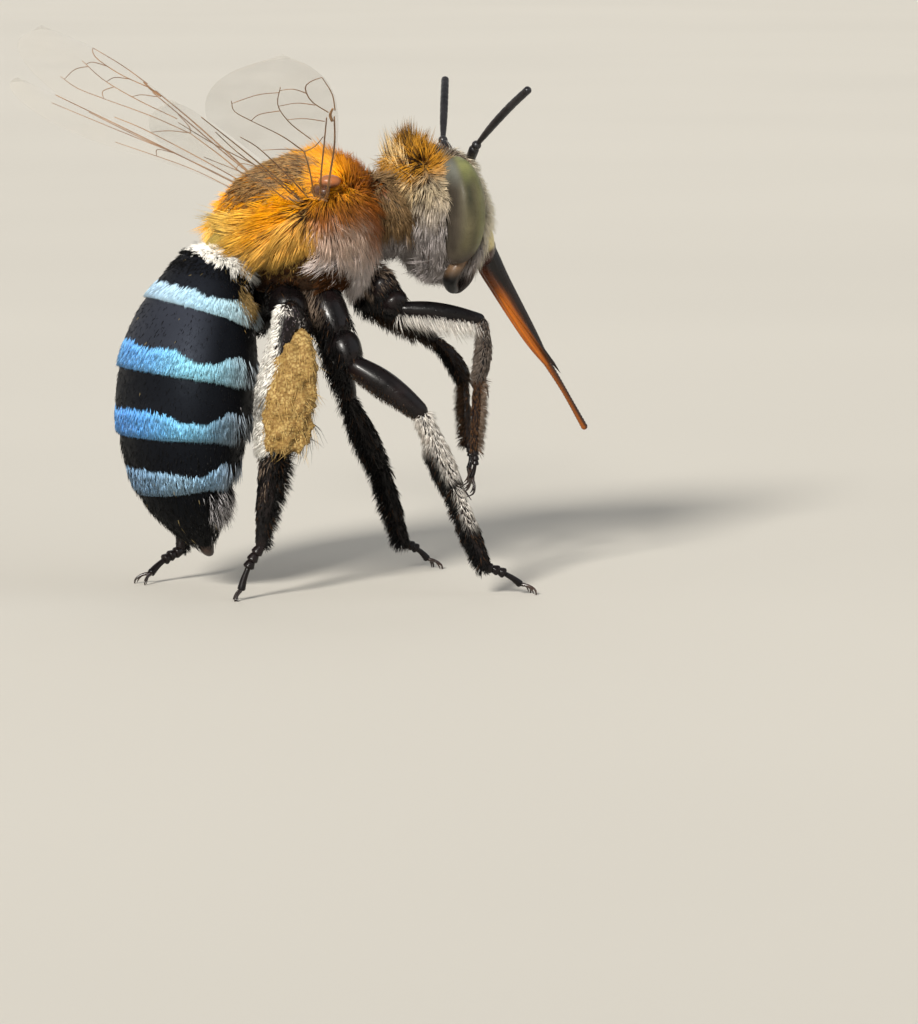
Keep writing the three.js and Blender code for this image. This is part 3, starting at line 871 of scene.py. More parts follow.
ocelli = [{"centre": (x - originX + 0.12, y, z - 0.13), "reach": (0.1,) * 5}
    for x, y, z in ((2.62, 0, 9.2), (2.42, 0.27, 9.22), (2.42, -0.27, 9.22))]
addPiece("small_eyes", joined([blob(form, 16, 12) for form in ocelli]), feelerMaterial)

clypeusForm = bodyForms["clypeus"]
shieldForm = {**clypeusForm, "reach": (0.36, 0.4, 0.66, 0.66, 0.7), "power": 2.3}
shield = blob(shieldForm, 44, 32)
place = placeIn(clypeusForm, shield["points"])
blot = peak(np.abs(place[:, 1]), 0.42, 0.24) * ramp(place[:, 2], 0.0, 0.45)
shieldHue = blend(paint(206, 190, 136), hues["black"], np.clip(blot * 1.25, 0, 1))
shieldHue = blend(shieldHue, paint(58, 28, 18), fall(place[:, 2], -0.5, -0.35))
addPiece("face_shield", shield, faceMaterial, ["clypeus"], shieldHue)
lip = blob({"centre": (3.94 - originX, 0, 6.98), "reach": (0.22, 0.3, 0.42, 0.3, 0.36), "pitch": -12,
    "power": 2.4}, 28, 18)
place = np.abs(lip["points"][:, 1])
addPiece("upper_lip", lip, faceMaterial, (),
    blend(paint(74, 34, 20), paint(34, 16, 12), ramp(place, 0.1, 0.34)))

jawFold, jawTop = {"right": 1.0, "left": 0.76}, 6.98  # the left jaw is drawn in a little more
for side, sign in sides.items():
    # right-hand points, mirrored for the left
    at = lambda points: np.array(points) * [1, sign, 1] - [originX, 0, 0]
    jaw = tube(at([(3.14, 1.08, 6.98), (3.05, 1.06, 6.82), (2.93, 1.02, 6.62), (2.9, 0.9, 6.42),
        (3.02, 0.68, 6.24), (3.24, 0.35, 6.18)]), (0.11, 0.14, 0.16, 0.16, 0.12, 0.03), 20, 36, (0, 1, 0),
        1.2, even=True)
    strap = tube(at([(3.3, 1.0, 6.98), (3.34, 0.9, 6.7), (3.3, 0.78, 6.44), (3.2, 0.6, 6.24),
        (3.14, 0.4, 6.14)]), (0.1, 0.12, 0.12, 0.1, 0.04), 16, 30, (0, 1, 0), 1.3, even=True)
    strapHue = blend(paint(30, 21, 17), paint(150, 120, 92),
        ramp(strap["points"][:, 2], 6.4, 6.8) * (0.5 + 0.5 * lumps(strap["points"], 0.2, 21)))
    made = joined([jaw, strap], tiled=False)
    made["points"][:, 2] = jawTop + (made["points"][:, 2] - jawTop) * jawFold[side]
    hue = np.concatenate([blend(hues["black"] * 0.8, paint(112, 88, 66),
        ramp(jaw["points"][:, 2], 6.42, 6.8)), strapHue])
    addPiece("jaw_" + side, made, faceMaterial, ["mandible_" + side], hue)
    root, elbow, tip = at([(3.44, 0.42, 8.76), (3.41, 0.975, 9.18), (4.03, 2.55, 10.45)])
    root = root - unit(elbow - root) * 0.3
    scape = tube([root, (root + elbow) / 2 + [0.02, 0, 0.02], elbow], (0.07, 0.1, 0.11), 18, 14)
    knob = blob({"centre": elbow + unit(tip - elbow) * 0.06, "reach": (0.1,) * 5}, 16, 10)
    # ten joints, each a little fuller in its middle
    rings = lambda s: 1 - 0.045 * np.abs(np.cos(np.pi * (s * 10))) ** 10
    lash = tube([elbow + unit(tip - elbow) * 0.08, elbow * 0.66 + tip * 0.34 + [0, 0, 0.05],
        elbow * 0.33 + tip * 0.67 + [0.0, 0, 0.05], tip], (0.05, 0.078, 0.086, 0.086, 0.082), 20, 80,
        rounded=0.8, even=True, profile=rings)
    addPiece("feeler_base_" + side, joined([scape, knob]), feelerMaterial,
        ["antenna_scape_" + side])
    addPiece("feeler_lash_" + side, lash, feelerMaterial, ["antenna_flagellum_" + side])

tongueLine = (np.array([(3.66, 0, 7.05), (4.3, 0, 6.2), (5.02, 0, 5.1), (5.68, 0, 4.1), (6.26, 0, 3.12)])
    - [originX, 0, 0])


def tongueHue(points):
    # amber along the rear edge, brighter further out, and nearly black along the front
    steps = 80
    line = spline(tongueLine, np.linspace(0, 1, steps))
    nearest = ((points[:, None] - line[None]) ** 2).sum(2).argmin(1)
    along = unit(np.gradient(line, axis=0))[nearest]
    front = ((points - line[nearest]) * np.stack([-along[:, 2], along[:, 1], along[:, 0]], 1)).sum(1)
    s = nearest / (steps - 1)
    amber = blend(paint(66, 28, 12), paint(160, 84, 12), ramp(s, 0.06, 0.34))
    hue = blend(amber, paint(20, 9, 5), ramp(front + 0.03 * lumps(points, 0.5, 22), -0.1, 0.05))
    return blend(paint(48, 18, 12), hue, ramp(s, 0.0, 0.1))


blades = []
for sign in (-1, 1):
    path = [tongueLine[0] + [0.3, 0.08 * sign, 0.02], tongueLine[0] + [0.42, 0.09 * sign, -0.36],
        tongueLine[1] + [0.05, 0.09 * sign, 0.0],
            tongueLine[2] + [0.0, 0.07 * sign, 0.0],
            tongueLine[3] * 0.7 + tongueLine[2] * 0.3 + [0, 0.04 * sign, 0]]
    blades.append(tube(path, (0.2, 0.25, 0.22, 0.15, 0.04), 22, 36, (0, 1, 0), 0.45, even=True))
    path = ([p + [-0.09, 0.06 * sign, -0.07] for p in path[:3]]
        + [tongueLine[3] * 0.75 + tongueLine[2] * 0.25 + [0.12, 0.16 * sign, -0.02]])
    blades.append(tube(path, (0.09, 0.08, 0.06, 0.03), 12, 26, (0, 1, 0), 0.8, even=True))
sheath = joined(blades, tiled=False)
addPiece("tongue_blades", sheath, tongueMaterial, ["proboscis_sheath"],
    tongueHue(sheath["points"]))
rod = tube(tongueLine[1:], (0.09, 0.09, 0.08, 0.06, 0.07), 14, 180, (0, 1, 0), 1.0, even=True,
    profile=lambda s: 1 + 0.06 * np.cos(2 * np.pi * s * 46))
addPiece("tongue_rod", rod, tongueMaterial, ["tongue"], tongueHue(rod["points"]) * 0.8)
print("head made")


# wings: a clear membrane, and the veins that stiffen it
def bezier(points, steps=24):
    # the sum of the points by their Bernstein shares
    points, t = np.array(points, float), np.linspace(0, 1, steps)
    n = len(points) - 1
    return sum(math.comb(n, k) * (t**k * (1 - t) ** (n - k))[:, None] * points[k] for k in range(n + 1))


wingForms = {
    "fore": {"long": 7.8, "front": [[(0, 0.22), (2.4, 0.5), (5.6, 0.95), (7.0, 0.42)],
        [(7.0, 0.42), (7.5, 0.2), (7.85, 0.1), (7.8, -0.35)]],
             "rear": [[(0.05, -0.22), (2.3, -0.95), (4.68, -1.95)],
                 [(4.68, -1.95), (6.1, -2.05), (7.6, -1.5), (7.8, -0.35)]]},
    "hind": {"long": 5.5, "front": [[(0.05, -0.26), (2.3, -0.99), (4.68, -1.99)],
        [(4.68, -1.99), (5.1, -2.1), (5.75, -2.45), (5.5, -2.75)]],
             "rear": [[(0.05, -0.7), (0.5, -0.95), (1.4, -1.5), (2.1, -2.2)],
                 [(2.1, -2.2), (3.2, -3.3), (4.9, -3.35), (5.5, -2.75)]]},
}
# each vein: half its thickness, then its way as (distance out, share of the wing's depth)
veins = {
    "fore": [
        (0.05, [(0.1, 0.08), (1.6, 0.05), (3.2, 0.03), (4.7, 0.03)]),
        (0.042, [(0.15, 0.34), (1.5, 0.21), (3.1, 0.14), (4.6, 0.09)]),
        (0.075, [(4.4, 0.05), (4.75, 0.06), (5.1, 0.035)]), (0.03, [(5.0, 0.02), (5.9, 0.015), (6.8, 0.02)]),
        (0.032, [(4.85, 0.07), (5.4, 0.19), (6.1, 0.22), (6.5, 0.15), (6.8, 0.02)]),
        (0.04, [(0.2, 0.56), (1.4, 0.43), (2.5, 0.4)]),
        (0.034, [(2.5, 0.4), (2.85, 0.25), (3.5, 0.14)]), (0.034, [(2.5, 0.4), (3.4, 0.55), (4.3, 0.7)]),
        (0.036, [(0.2, 0.82), (1.5, 0.86), (2.9, 0.88), (3.6, 0.93)]),
        (0.03, [(2.55, 0.42), (2.75, 0.62), (2.8, 0.86)]),
        (0.03, [(3.2, 0.27), (4.1, 0.41), (5.1, 0.45), (6.1, 0.42)]),
        (0.028, [(4.35, 0.11), (4.4, 0.27), (4.3, 0.42)]),
        (0.028, [(5.2, 0.16), (5.25, 0.3), (5.05, 0.45)]), (0.028, [(5.8, 0.21), (6.0, 0.32), (5.9, 0.43)]),
        (0.026, [(4.8, 0.44), (4.65, 0.6), (4.35, 0.71)]), (0.026, [(5.8, 0.43), (5.7, 0.6), (5.35, 0.8)]),
        (0.026, [(4.3, 0.7), (4.9, 0.78), (5.5, 0.8)]),
    ],
    "hind": [
        (0.04, [(0.15, 0.06), (1.6, 0.04), (3.2, 0.03), (4.8, 0.04)]),
        (0.034, [(0.2, 0.4), (1.3, 0.26), (2.6, 0.2), (3.9, 0.12)]),
        (0.028, [(1.9, 0.22), (3.0, 0.4), (4.3, 0.56)]), (0.028, [(0.2, 0.7), (1.2, 0.62), (2.5, 0.74)]),
        (0.024, [(1.8, 0.23), (1.95, 0.45), (1.8, 0.66)]),
    ],
}
sweep, rise, pitch = (math.radians(a) for a in (22, 24, -8))
wingOut = np.array([-math.sin(sweep) * math.cos(rise), -math.cos(sweep) * math.cos(rise), math.sin(rise)])
wingAhead = unit(np.array([1.0, 0, 0]) - wingOut * wingOut[0])
wingAhead = wingAhead * math.cos(pitch) + np.cross(wingOut, wingAhead) * math.sin(pitch)
wingUp = np.cross(wingOut, wingAhead)
wingRoot = np.array([-0.3 - originX, -1.7, 8.2])
membraneHalf = 0.008


def wingPoint(kind, x, share, lift=0.0):
    # root + x out + y ahead + lift up, y running from the front edge at share 0 to the rear edge at share 1
    form = wingForms[kind]
    front, rear = (np.concatenate([bezier(curve) for curve in form[edge]]) for edge in ("front", "rear"))
    x = np.clip(x, 0.0, form["long"])
    yFront, yRear = np.interp(x, front[:, 0], front[:, 1]), np.interp(x, rear[:, 0], rear[:, 1])
    y = yFront + (yRear - yFront) * share
    arch = 0.1 * np.sin(np.pi * np.clip(share, 0, 1)) * np.clip(x / 3, 0, 1)
    camber = arch - 0.05 * np.cos(9 * share) * np.clip(1 - x / 5, 0, 1)
    return wingRoot + np.outer(x, wingOut) + np.outer(y, wingAhead) + np.outer(camber + lift, wingUp)


def membraneShape(kind):
    # a thin lens: round it goes (1 - cos) / 2 of the depth and sin of the thickness
    def shape(u, v):
        x = wingForms[kind]["long"] * (1 - (1 - v) ** 1.7)
        return wingPoint(kind, x, (1 - np.cos(2 * np.pi * u)) / 2, membraneHalf * np.sin(2 * np.pi * u))

    return shape


for kind in wingForms:
    sheet = closedSurface(membraneShape(kind), 48, 60)
    ways = []
    for half, way in veins[kind]:
        path = wingPoint(kind, *np.array(way).T)
        ways.append(tube(path, (half * 0.46, half * 0.4, half * 0.3), 8, 16, wingUp, 0.7))
    network = joined(ways)
    for side in sides:
        turnOver = mirrored if side == "left" else (lambda surface: surface)
        addPiece(kind + "wing_membrane_" + side, turnOver(sheet), wingMaterial,
            [kind + "wing_" + side])
        addPiece(kind + "wing_veins_" + side, turnOver(network), veinMaterial)
tegulaDome = {"centre": (-0.02 - originX, -1.72, 8.58), "reach": (0.22, 0.25, 0.2, 0.13, 0.15)}
hinge = {"centre": (-0.18 - originX, -1.54, 8.38), "reach": (0.16, 0.2, 0.42, 0.13, 0.14)}
tegula = joined([blob(tegulaDome, 28, 20), blob(hinge, 20, 14)])
tegulaHue = blend(paint(64, 26, 6), paint(152, 86, 40), ramp(tegula["points"][:, 2], 8.46, 8.58))
addPiece("tegula_right_cap", tegula, tegulaMaterial, ["tegula_right"], tegulaHue)
addPiece("tegula_left_cap", mirrored(tegula), tegulaMaterial, ["tegula_left"], tegulaHue)
print("wings made")

# legs: bare limbs, the small joints of the foot, spurs and claws
footForm = {"joints": ((-0.05, 0.2), (0.16, 0.37), (0.33, 0.53), (0.49, 1.0)),
    "half": {"front": 0.085, "middle": 0.115, "hind": 0.125}, "arch": 0.06}
clawForm = {"long": 0.36, "half": 0.042, "spread": 0.17}
for leg, joints in legJoints.items():
    kind, side = leg.split("_")
    knee, ankle, heel, toe = joints[2:]
    parts = [limbSurface(leg, limb, 22) for limb in ("femur", "tibia", "basitarsus")]
    top, hip = joints[:2]
    radius = np.array(legForms[kind]["hip"][0])
    upper = [top, top * 0.6 + hip * 0.4, top * 0.3 + hip * 0.7]
    lower = [top * 0.42 + hip * 0.58, top * 0.2 + hip * 0.8, hip + unit(hip - top) * 0.12]
    parts.append(tube(upper, radius * (1.0, 1.08, 0.95), 24, 18, (1, 0, 0)))
    parts.append(tube(lower, radius * (0.75, 1.0, 0.9), 24, 18, (1, 0, 0)))
    half, axis = footForm["half"][kind], toe - heel
    onFloor = toe[2] < 0.5
    up = np.array([0, 0, 1.0]) if onFloor else np.array([1.0, 0, 0.2])
    up = unit(up - unit(axis) * (unit(axis) @ up))
    way = lambda s: heel + axis * s + up * footForm["arch"] * 4 * s * (1 - s)
    for a, b in footForm["joints"]:
        radii = (half * 0.62, half * 0.8, half * 0.95, half)
        if b == 1.0:  # the last joint is slimmer
            radii = (half * 0.45, half * 0.5, half * 0.6, half * 0.72)
        parts.append(tube([way(a), way((a + b) / 2), way(b)], radii, 14, 14, (0, 1, 0), rounded=0.45))
    addPiece("leg_" + leg, joined(parts), legMaterial,
             [limb + "_" + leg for limb in limbNames if not (kind == "hind" and limb == "tibia")])
    ahead, hooks = unit(axis), []
    across = unit(np.cross(ahead, up))
    for sign in (-1, 1):
        bend = [(-0.1, 0.15, 0.0), (0.3, 0.7, 0.12), (0.75, 1.1, 0.06), (1.0, 1.2, -0.4)]
        long, spread, thick = (clawForm[key] for key in ("long", "spread", "half"))
        path = [toe + ahead * long * a + across * sign * spread * b + up * long * c for a, b, c in bend]
        hooks.append(tube(path, (thick, thick * 0.8, thick * 0.5, 0.006), 10, 16, up))
        tooth = [path[1], path[1] * 0.4 + path[2] * 0.6 - up * 0.03, path[2] - up * 0.08]
        hooks.append(tube(tooth, (0.022, 0.018, 0.005), 8, 8, up))
    spurs = {"front": 1, "middle": 1, "hind": 2}[kind]
    down = unit(heel - ankle)
    for i in range(spurs):
        away = unit(np.cross(down, [0, 1, 0])) * (1 if i == 0 else -1)
        path = [ankle + away * 0.1, ankle + away * 0.2 + down * 0.18, ankle + away * 0.26 + down * 0.4]
        hooks.append(tube(path, (0.035, 0.026, 0.006), 8, 10, (0, 1, 0)))
    addPiece("claws_" + leg, joined(hooks), brownMaterial)
print("legs made")

# pollen: a lumpy mass round the outside of each hind tibia, with loose grains on it
# shares of the way from knee to ankle, half-widths there and how far it stands ahead of the limb
pollenForm = {
    "at": (0.16, 0.32, 0.5, 0.68, 0.86, 1.0), "half": (0.18, 0.4, 0.5, 0.52, 0.5, 0.34),
    "ahead": (0.36, 0.24, 0.17, 0.15, 0.14, 0.12),
    "lumps": ((0.07, 0.4, 4), (0.09, 0.15, 5), (0.03, 0.06, 6)), "out": 0.16, "grains": 1300,
    "grain": (0.01, 0.024),
}
golden = (1 + math.sqrt(5)) / 2
ball = unit(np.array([(-1, golden, 0), (1, golden, 0), (-1, -golden, 0), (1, -golden, 0), (0, -1, golden),
    (0, 1, golden), (0, -1, -golden), (0, 1, -golden),
                      (golden, 0, -1), (golden, 0, 1), (-golden, 0, -1), (-golden, 0, 1)], float))
ballFaces = np.array([(0, 11, 5), (0, 5, 1), (0, 1, 7), (0, 7, 10), (0, 10, 11), (1, 5, 9), (5, 11, 4),
    (11, 10, 2), (10, 7, 6), (7, 1, 8),
                      (3, 9, 4), (3, 4, 2), (3, 2, 6), (3, 6, 8), (3, 8, 9), (4, 9, 5), (2, 4, 11),
                      (6, 2, 10), (8, 6, 7), (9, 8, 1)])


def scatter(surface, count, weight, rng):
    # roots spread by the area of each triangle times its weight, with the surface's normal and unwrap there
    faces, uv = trianglesOf(surface)
    normals = pointNormals(surface)
    a, b, c = (surface["points"][faces[:, k]] for k in range(3))
    cross = np.cross(b - a, c - a)
    share = (np.linalg.norm(cross, axis=1) / 2
        * np.clip(weight((a + b + c) / 3, unit(cross), uv.mean(1)), 0, None))
    total = np.cumsum(share)
    pick = np.minimum(np.searchsorted(total, (np.arange(count) + rng.random(count)) / count * total[-1]),
        len(faces) - 1)
    r, q = np.sqrt(rng.random(count)), rng.random(count)
    w = np.stack([1 - r, r * (1 - q), r * q], 1)
    mix = lambda values: np.einsum("ik,ikd->id", w, values)
    return mix(surface["points"][faces[pick]]), unit(mix(normals[faces[pick]])), mix(uv[pick])


def everywhere(points, normals, uv):
    return np.ones(len(points))


pollenMass = {}
for side, sign in sides.items():
    rng = np.random.default_rng(31 + sign)
    knee, ankle = legJoints["hind_" + side][2:4]
    path = [knee + (ankle - knee) * s + np.array([ahead, sign * pollenForm["out"], 0])
        for s, ahead in zip(pollenForm["at"], pollenForm["ahead"])]
    mass = tube(path, pollenForm["half"], 72, 90, (1, 0, 0), 1.0, rounded=0.8)
    bulge = sum(high * lumps(mass["points"], size, seed) for high, size, seed in pollenForm["lumps"])
    mass["points"] = mass["points"] + pointNormals(mass) * bulge[:, None]
    roots, normals, _ = scatter(mass, pollenForm["grains"], everywhere, rng)
    size = rng.uniform(*pollenForm["grain"], len(roots))
    points = (roots + normals * (size * 0.3)[:, None])[:, None] + ball * size[:, None, None]
    faces = (ballFaces[None] + 12 * np.arange(len(roots))[:, None, None]).reshape(-1, 3)
    grains = {"points": points.reshape(-1, 3), "quads": np.zeros((0, 4), int), "quadUv": np.zeros((0, 4, 2)),
              "tris": faces, "triUv": np.zeros((len(faces), 3, 2))}
    pollenMass[side] = mass
    addPiece("pollen_" + side, joined([mass, grains], tiled=False), pollenMaterial,
        ["tibia_hind_" + side])
print("pollen made")


# coats: every hair is a thin closed horn, and neighbours lean together into locks
bakePatch = 0.003  # the width of a tuft's patch on the unwrap
hairRings, hairTaper = 2, 0.55  # the rings of points along a hair, its tip aside, and how it thins
usualCoat = {"locks": 0, "gather": 0.35, "stray": 0.16, "droop": 0.3, "tint": 0.1, "vary": 0.2}
spread, lengthSpread = (0.75, 1.25), (0.72, 1.18)  # of lift and thickness, and of length
gatherSpread, gatherLimit = (0.6, 1.0), 0.5  # how unevenly a tip is drawn to its lock, and how far by length
hairsToLock = 12  # on the legs


def strands(roots, ahead, bend, length, half, rootHue, tipHue, uv):
    # c(s) = root + length (s ahead + s^2 bend), and round it a triangle of half-width half (1 - taper s)
    count, rings = len(roots), hairRings
    s = np.arange(rings) / rings
    side = unit(np.cross(ahead, bend + np.array([0.013, 0.021, 0.017])))
    other = unit(np.cross(ahead, side))
    angle = np.arange(3) * 2 * np.pi / 3
    around = np.cos(angle)[None, :, None] * side[:, None] + np.sin(angle)[None, :, None] * other[:, None]
    way = s[:, None] * ahead[:, None] + (s**2)[:, None] * bend[:, None]
    centre = roots[:, None] + length[:, None, None] * way
    taper = half[:, None] * (1 - hairTaper * s)
    ringPoints = centre[:, :, None] + taper[:, :, None, None] * around[:, None]
    tips = roots + length[:, None] * (ahead + bend)
    points = np.concatenate([ringPoints.reshape(count, -1, 3), tips[:, None]], 1)
    share = np.concatenate([np.repeat(s, 3), [1.0]])
    # from the root's colour to the tip's: the darker roots are painted shade deep in the coat
    hue = rootHue[:, None] * (1 - share[:, None]) + tipHue[:, None] * share[:, None]
    across = np.concatenate([np.tile([-0.5, 0.0, 0.5], rings), [0.0]])
    place = (uv[:, None] * (1 - 2 * bakePatch) + bakePatch
        + bakePatch * np.stack([across, share - 0.5], 1)[None])
    quads = [(3 * r + k, 3 * r + (k + 1) % 3, 3 * r + 3 + (k + 1) % 3, 3 * r + 3 + k)
        for r in range(rings - 1) for k in range(3)]
    last = 3 * (rings - 1)
    tris = [(2, 1, 0)] + [(last + k, last + (k + 1) % 3, 3 * rings) for k in range(3)]
    step = (3 * rings + 1) * np.arange(count)[:, None, None]
    surface = {"points": points.reshape(-1, 3)}
    flatUv = place.reshape(-1, 2)
    for key, faces, size in (("quads", quads, 4), ("tris", tris, 3)):
        surface[key] = (np.array(faces, int).reshape(-1, size)[None] + step).reshape(-1, size)
        surface[key[:-1] + "Uv"] = flatUv[surface[key]]
    return outward(surface), hue.reshape(-1, 3)


def lockOf(roots, locks, rng):
    # the middle hair of each lock, and which lock each hair is in: the nearest
    centres = rng.choice(len(roots), min(locks, len(roots)), replace=False)
    member = np.empty(len(roots), int)
    portion = 3000  # as many at a time as memory takes
    for start in range(0, len(roots), portion):
        gap = ((roots[start:start + portion, None] - roots[centres][None]) ** 2).sum(2)
        member[start:start + portion] = gap.argmin(1)
    return centres, member


def gathered(roots, length, ahead, bend, middle, share, rng):
    # each tip is drawn towards the tip of its lock's middle hair
    tips = roots + length[:, None] * (ahead + bend)
    pull = (tips[middle] - tips) * (share * rng.uniform(*gatherSpread, len(roots)))[:, None]
    limit = np.minimum(1, gatherLimit * length / np.maximum(np.linalg.norm(pull, axis=1), 1e-6))
    return bend + pull * limit[:, None] / length[:, None]


def growCoat(name, surface, form, rule, weight, material=None):
    # hairs rooted over the surface where weight says, each as rule says: its lay, lift, length, two
    #  colours, the root's darker as painted shade deep in the coat, and how far it is drawn to its lock
    form = {**usualCoat, **form}
    rng = np.random.default_rng(form["seed"])
    roots, normals, uv = scatter(surface, form["count"], weight, rng)
    lay, lift, length, rootHue, tipHue, *pull = rule(roots, normals, uv, rng)
    rng.random(len(roots))  # a draw that keeps the later ones as they are
    count, stray = len(roots), form["stray"]
    tint = rng.normal(1, form["tint"], (count, 1))
    lay, lift = lay + rng.normal(0, stray, roots.shape), lift * rng.uniform(*spread, count)
    length = length * rng.uniform(*lengthSpread, count)
    if form["locks"]:  # every lock has its own lay, lift, length and tint
        centres, member = lockOf(roots, form["locks"], rng)
        own = rng.normal(0, form["vary"], (len(centres), 6))[member]
        lay, lift = lay + own[:, :3], lift * (1 + own[:, 3])
        length, tint = length * (1 + 0.6 * own[:, 4]), tint * (1 + 0.5 * own[:, 5:])
    lay = unit(lay - normals * np.einsum("ij,ij->i", lay, normals)[:, None])
    ahead = normals * np.sin(lift)[:, None] + lay * np.cos(lift)[:, None]
    ahead = unit(ahead + rng.normal(0, stray * 0.5, roots.shape))
    bend = form["droop"] * (lay * 0.5 - normals * np.sin(lift)[:, None] * 0.8)
    if form["locks"]:
        bend = gathered(roots, length, ahead, bend, centres[member], (pull or [form["gather"]])[0], rng)
    half = form["half"] * rng.uniform(*spread, count)
    tint, brightest, sunk = tint.clip(0.55, 1.5), 0.92, 0.02
    colours = [hue * tint for hue in (rootHue, tipHue)]
    colours = [hue / np.maximum(1, hue.max(1, keepdims=True) / brightest) for hue in colours]
    made, hue = strands(roots - normals * sunk, ahead, bend, length, half, *colours, uv)
    addPiece(name, made, material or coatMaterial, (), hue, "OFBake")
    print(name, count, "hairs", len(made["tris"]) + 2 * len(made["quads"]), "triangles")


def mixed(rng, count, shares):
    # which of several kinds each hair is, by their shares, row by row
    total = np.cumsum(np.broadcast_to(np.stack(shares, 1), (count, len(shares))), 1)
    return (rng.random(count)[:, None] * total[:, -1:] > total[:, :-1]).sum(1)


def spot(x, z, atX, wideX, atZ, wideZ):
    # a soft round mark
    return np.exp(-(((x - atX) / wideX) ** 2) - ((z - atZ) / wideZ) ** 2)


thoraxSkin, headSkin = blob(thoraxForm, 110, 90), blob(headForm, 100, 84)


def thoraxHair(points, normals, uv, rng):
    x, _, z = placeIn(thoraxForm, points).T
    count = len(points)
    way, away, angle = fromFan(points)
    rim = 0.53 + 0.17 * x  # the lower edge of the disc
    disc = (ramp(z - rim + 0.05 * lumps(points, 0.3, 31), -0.06, 0.08) * fall(x, 0.24, 0.42)
        * ramp(x, -0.72, -0.5))
    fan = fall(x, -0.14, 0.0) * fall(z - rim, -0.12, 0.0)
    border = x - 0.46 * fall(z, -0.6, -0.1)  # where the grey chest begins
    ahead = ramp(border, -0.1, 0.02) * fall(z, 0.25, 0.42)
    collar = ramp(x, 0.4, 0.6) * ramp(z, 0.12, 0.3)
    chest = ahead * fall(z, -0.5, -0.15)
    # dark short hair low behind the chest: painted shade between the fan and the chest
    pitShade = (1 - ahead) * fall(z, -0.46, -0.32) * ramp(x, -0.45, -0.25)
    lay = np.tile([-1.0, 0, -0.25], (count, 1))
    lay = layered(lay,
        (unit(way + [0, 0, -0.1]), fan), ((0.1, 0, -1.0), ahead),
        ((0.8, 0, -1.0), ahead * fall(x, 0.1, 0.3) * fall(z, -0.35, -0.1)), ((0.5, 0, 0.8), collar))
    lay += rng.normal(0, 0.3, (count, 3)) * disc[:, None]
    lift = 0.5 - 0.16 * fan - 0.12 * disc + 0.3 * collar - 0.12 * chest
    length = 0.5 - 0.17 * disc + 0.16 * fan + 0.42 * fan * ramp(away, 0.25, 1.1)
    length = length + 0.06 * ahead + 0.22 * chest + 0.06 * collar
    length = length * (1 - 0.5 * fan * ramp(z - rim, -0.3, -0.05))
    # the fan ends in a slanting line: how far it spreads, by the share of its way that runs ahead
    forward, reach = (-1, -0.75, -0.5, -0.2, 0.2, 0.6), (3.4, 2.6, 1.75, 1.25, 0.95, 0.7)
    room = np.interp(way[:, 0] / np.maximum(away, 0.01), forward, reach) - away
    beyond = fan * fall(room, 0.0, 0.12)
    length = np.where(fan > 0.3, np.minimum(length, np.maximum(room, 0.16)), length)
    hue = thoraxMarks(points)
    edge = ramp(away, 1.0, 1.8) * fan * fall(angle, 0.15, 0.45)
    # painted shade: darker where the thorax meets the neck
    throatShade = np.maximum(collar, ramp(x, 0.4, 0.56) * ramp(z, -0.3, 0.0))
    # darker roots and brighter tips: painted shade deep in the coat
    root = blend(hue * (0.92 + 0.08 * chest[:, None]), blend(hue, hues["deep"], 0.2) * 0.98,
        np.maximum(fan, collar))
    tip = blend(hue * (1.2 + 0.1 * fan[:, None]), hues["cream"], edge * 0.6)
    # dark short hair in the hollows behind and below the tegula: painted shade
    notchShade = spot(x, z, -0.03, 0.08, 0.47, 0.1) + spot(x, z, -0.13, 0.09, 0.24, 0.06)
    notchShade = np.clip(1.3 * notchShade, 0, 1)
    streams = sum(peak(angle, at, 0.05) for at in (0.4, -0.62))
    dark = 0.02 + 0.26 * disc + 0.9 * notchShade + 0.95 * beyond + 0.9 * pitShade
    dark = dark + 0.4 * fan * streams * ramp(away, 0.2, 0.5) * fall(away, 1.3, 1.7)
    kind = mixed(rng, count, [np.clip(1 - 0.68 * disc - dark, 0.03, 1), 0.42 * disc, dark])
    silver, dark = (kind == 1)[:, None], (kind == 2)[:, None]
    root, tip = blend(root, hues["deep"] * 0.6, disc * 0.7), blend(tip, hues["deep"] * 0.72, disc * 0.7)
    root = np.where(silver, hues["deep"] * 0.35, np.where(dark, hues["dark"], root))
    tip = np.where(silver, hues["silver"] * 0.58, np.where(dark, paint(84, 48, 16), tip))
    root, tip = blend(root, hues["deep"] * 0.26, throatShade * 0.85), blend(tip, hues["deep"] * 0.5, throatShade * 0.8)
    seam = 0.45 * fall(border, 0.02, 0.16) * ramp(border, -0.1, 0.0) * fall(z, -0.4, -0.2)
    length = length * (1 - 0.6 * notchShade) * (1 - 0.5 * pitShade) * (1 - seam)
    return lay, lift, length, root, tip, 0.3 + 0.45 * fan


def thoraxWeight(points, normals, uv):
    x, _, z = placeIn(thoraxForm, points).T
    rightHand = toRight(points)
    clear = (depthIn(headForm, points) > 0.9) & (depthIn(bodyForms["tegula"], rightHand) > 0.75)
    return clear * (1 - 0.5 * (z < -0.75)) * (1 + 0.45 * ramp(x, -0.1, 0.1) * fall(z, -0.2, 0.1))


topEdge = 0.55  # the coat's upper piece is where the normal rises more than this
thoraxRegions = {
    "top": lambda n: n[:, 2] > topEdge,
    "right": lambda n: (n[:, 2] <= topEdge) & (n[:, 1] < 0),
    "left": lambda n: (n[:, 2] <= topEdge) & (n[:, 1] >= 0),
}
for seed, (key, region) in enumerate(thoraxRegions.items(), 41):
    form = {"seed": seed, "count": 16400, "half": 0.0118, "locks": 620, "gather": 0.4, "stray": 0.12}
    if key == "top":
        form.update(locks=1100, stray=0.2)
    weight = lambda p, n, w, region=region: thoraxWeight(p, n, w) * region(n)
    growCoat("thorax_coat_" + key, thoraxSkin, form, thoraxHair, weight)


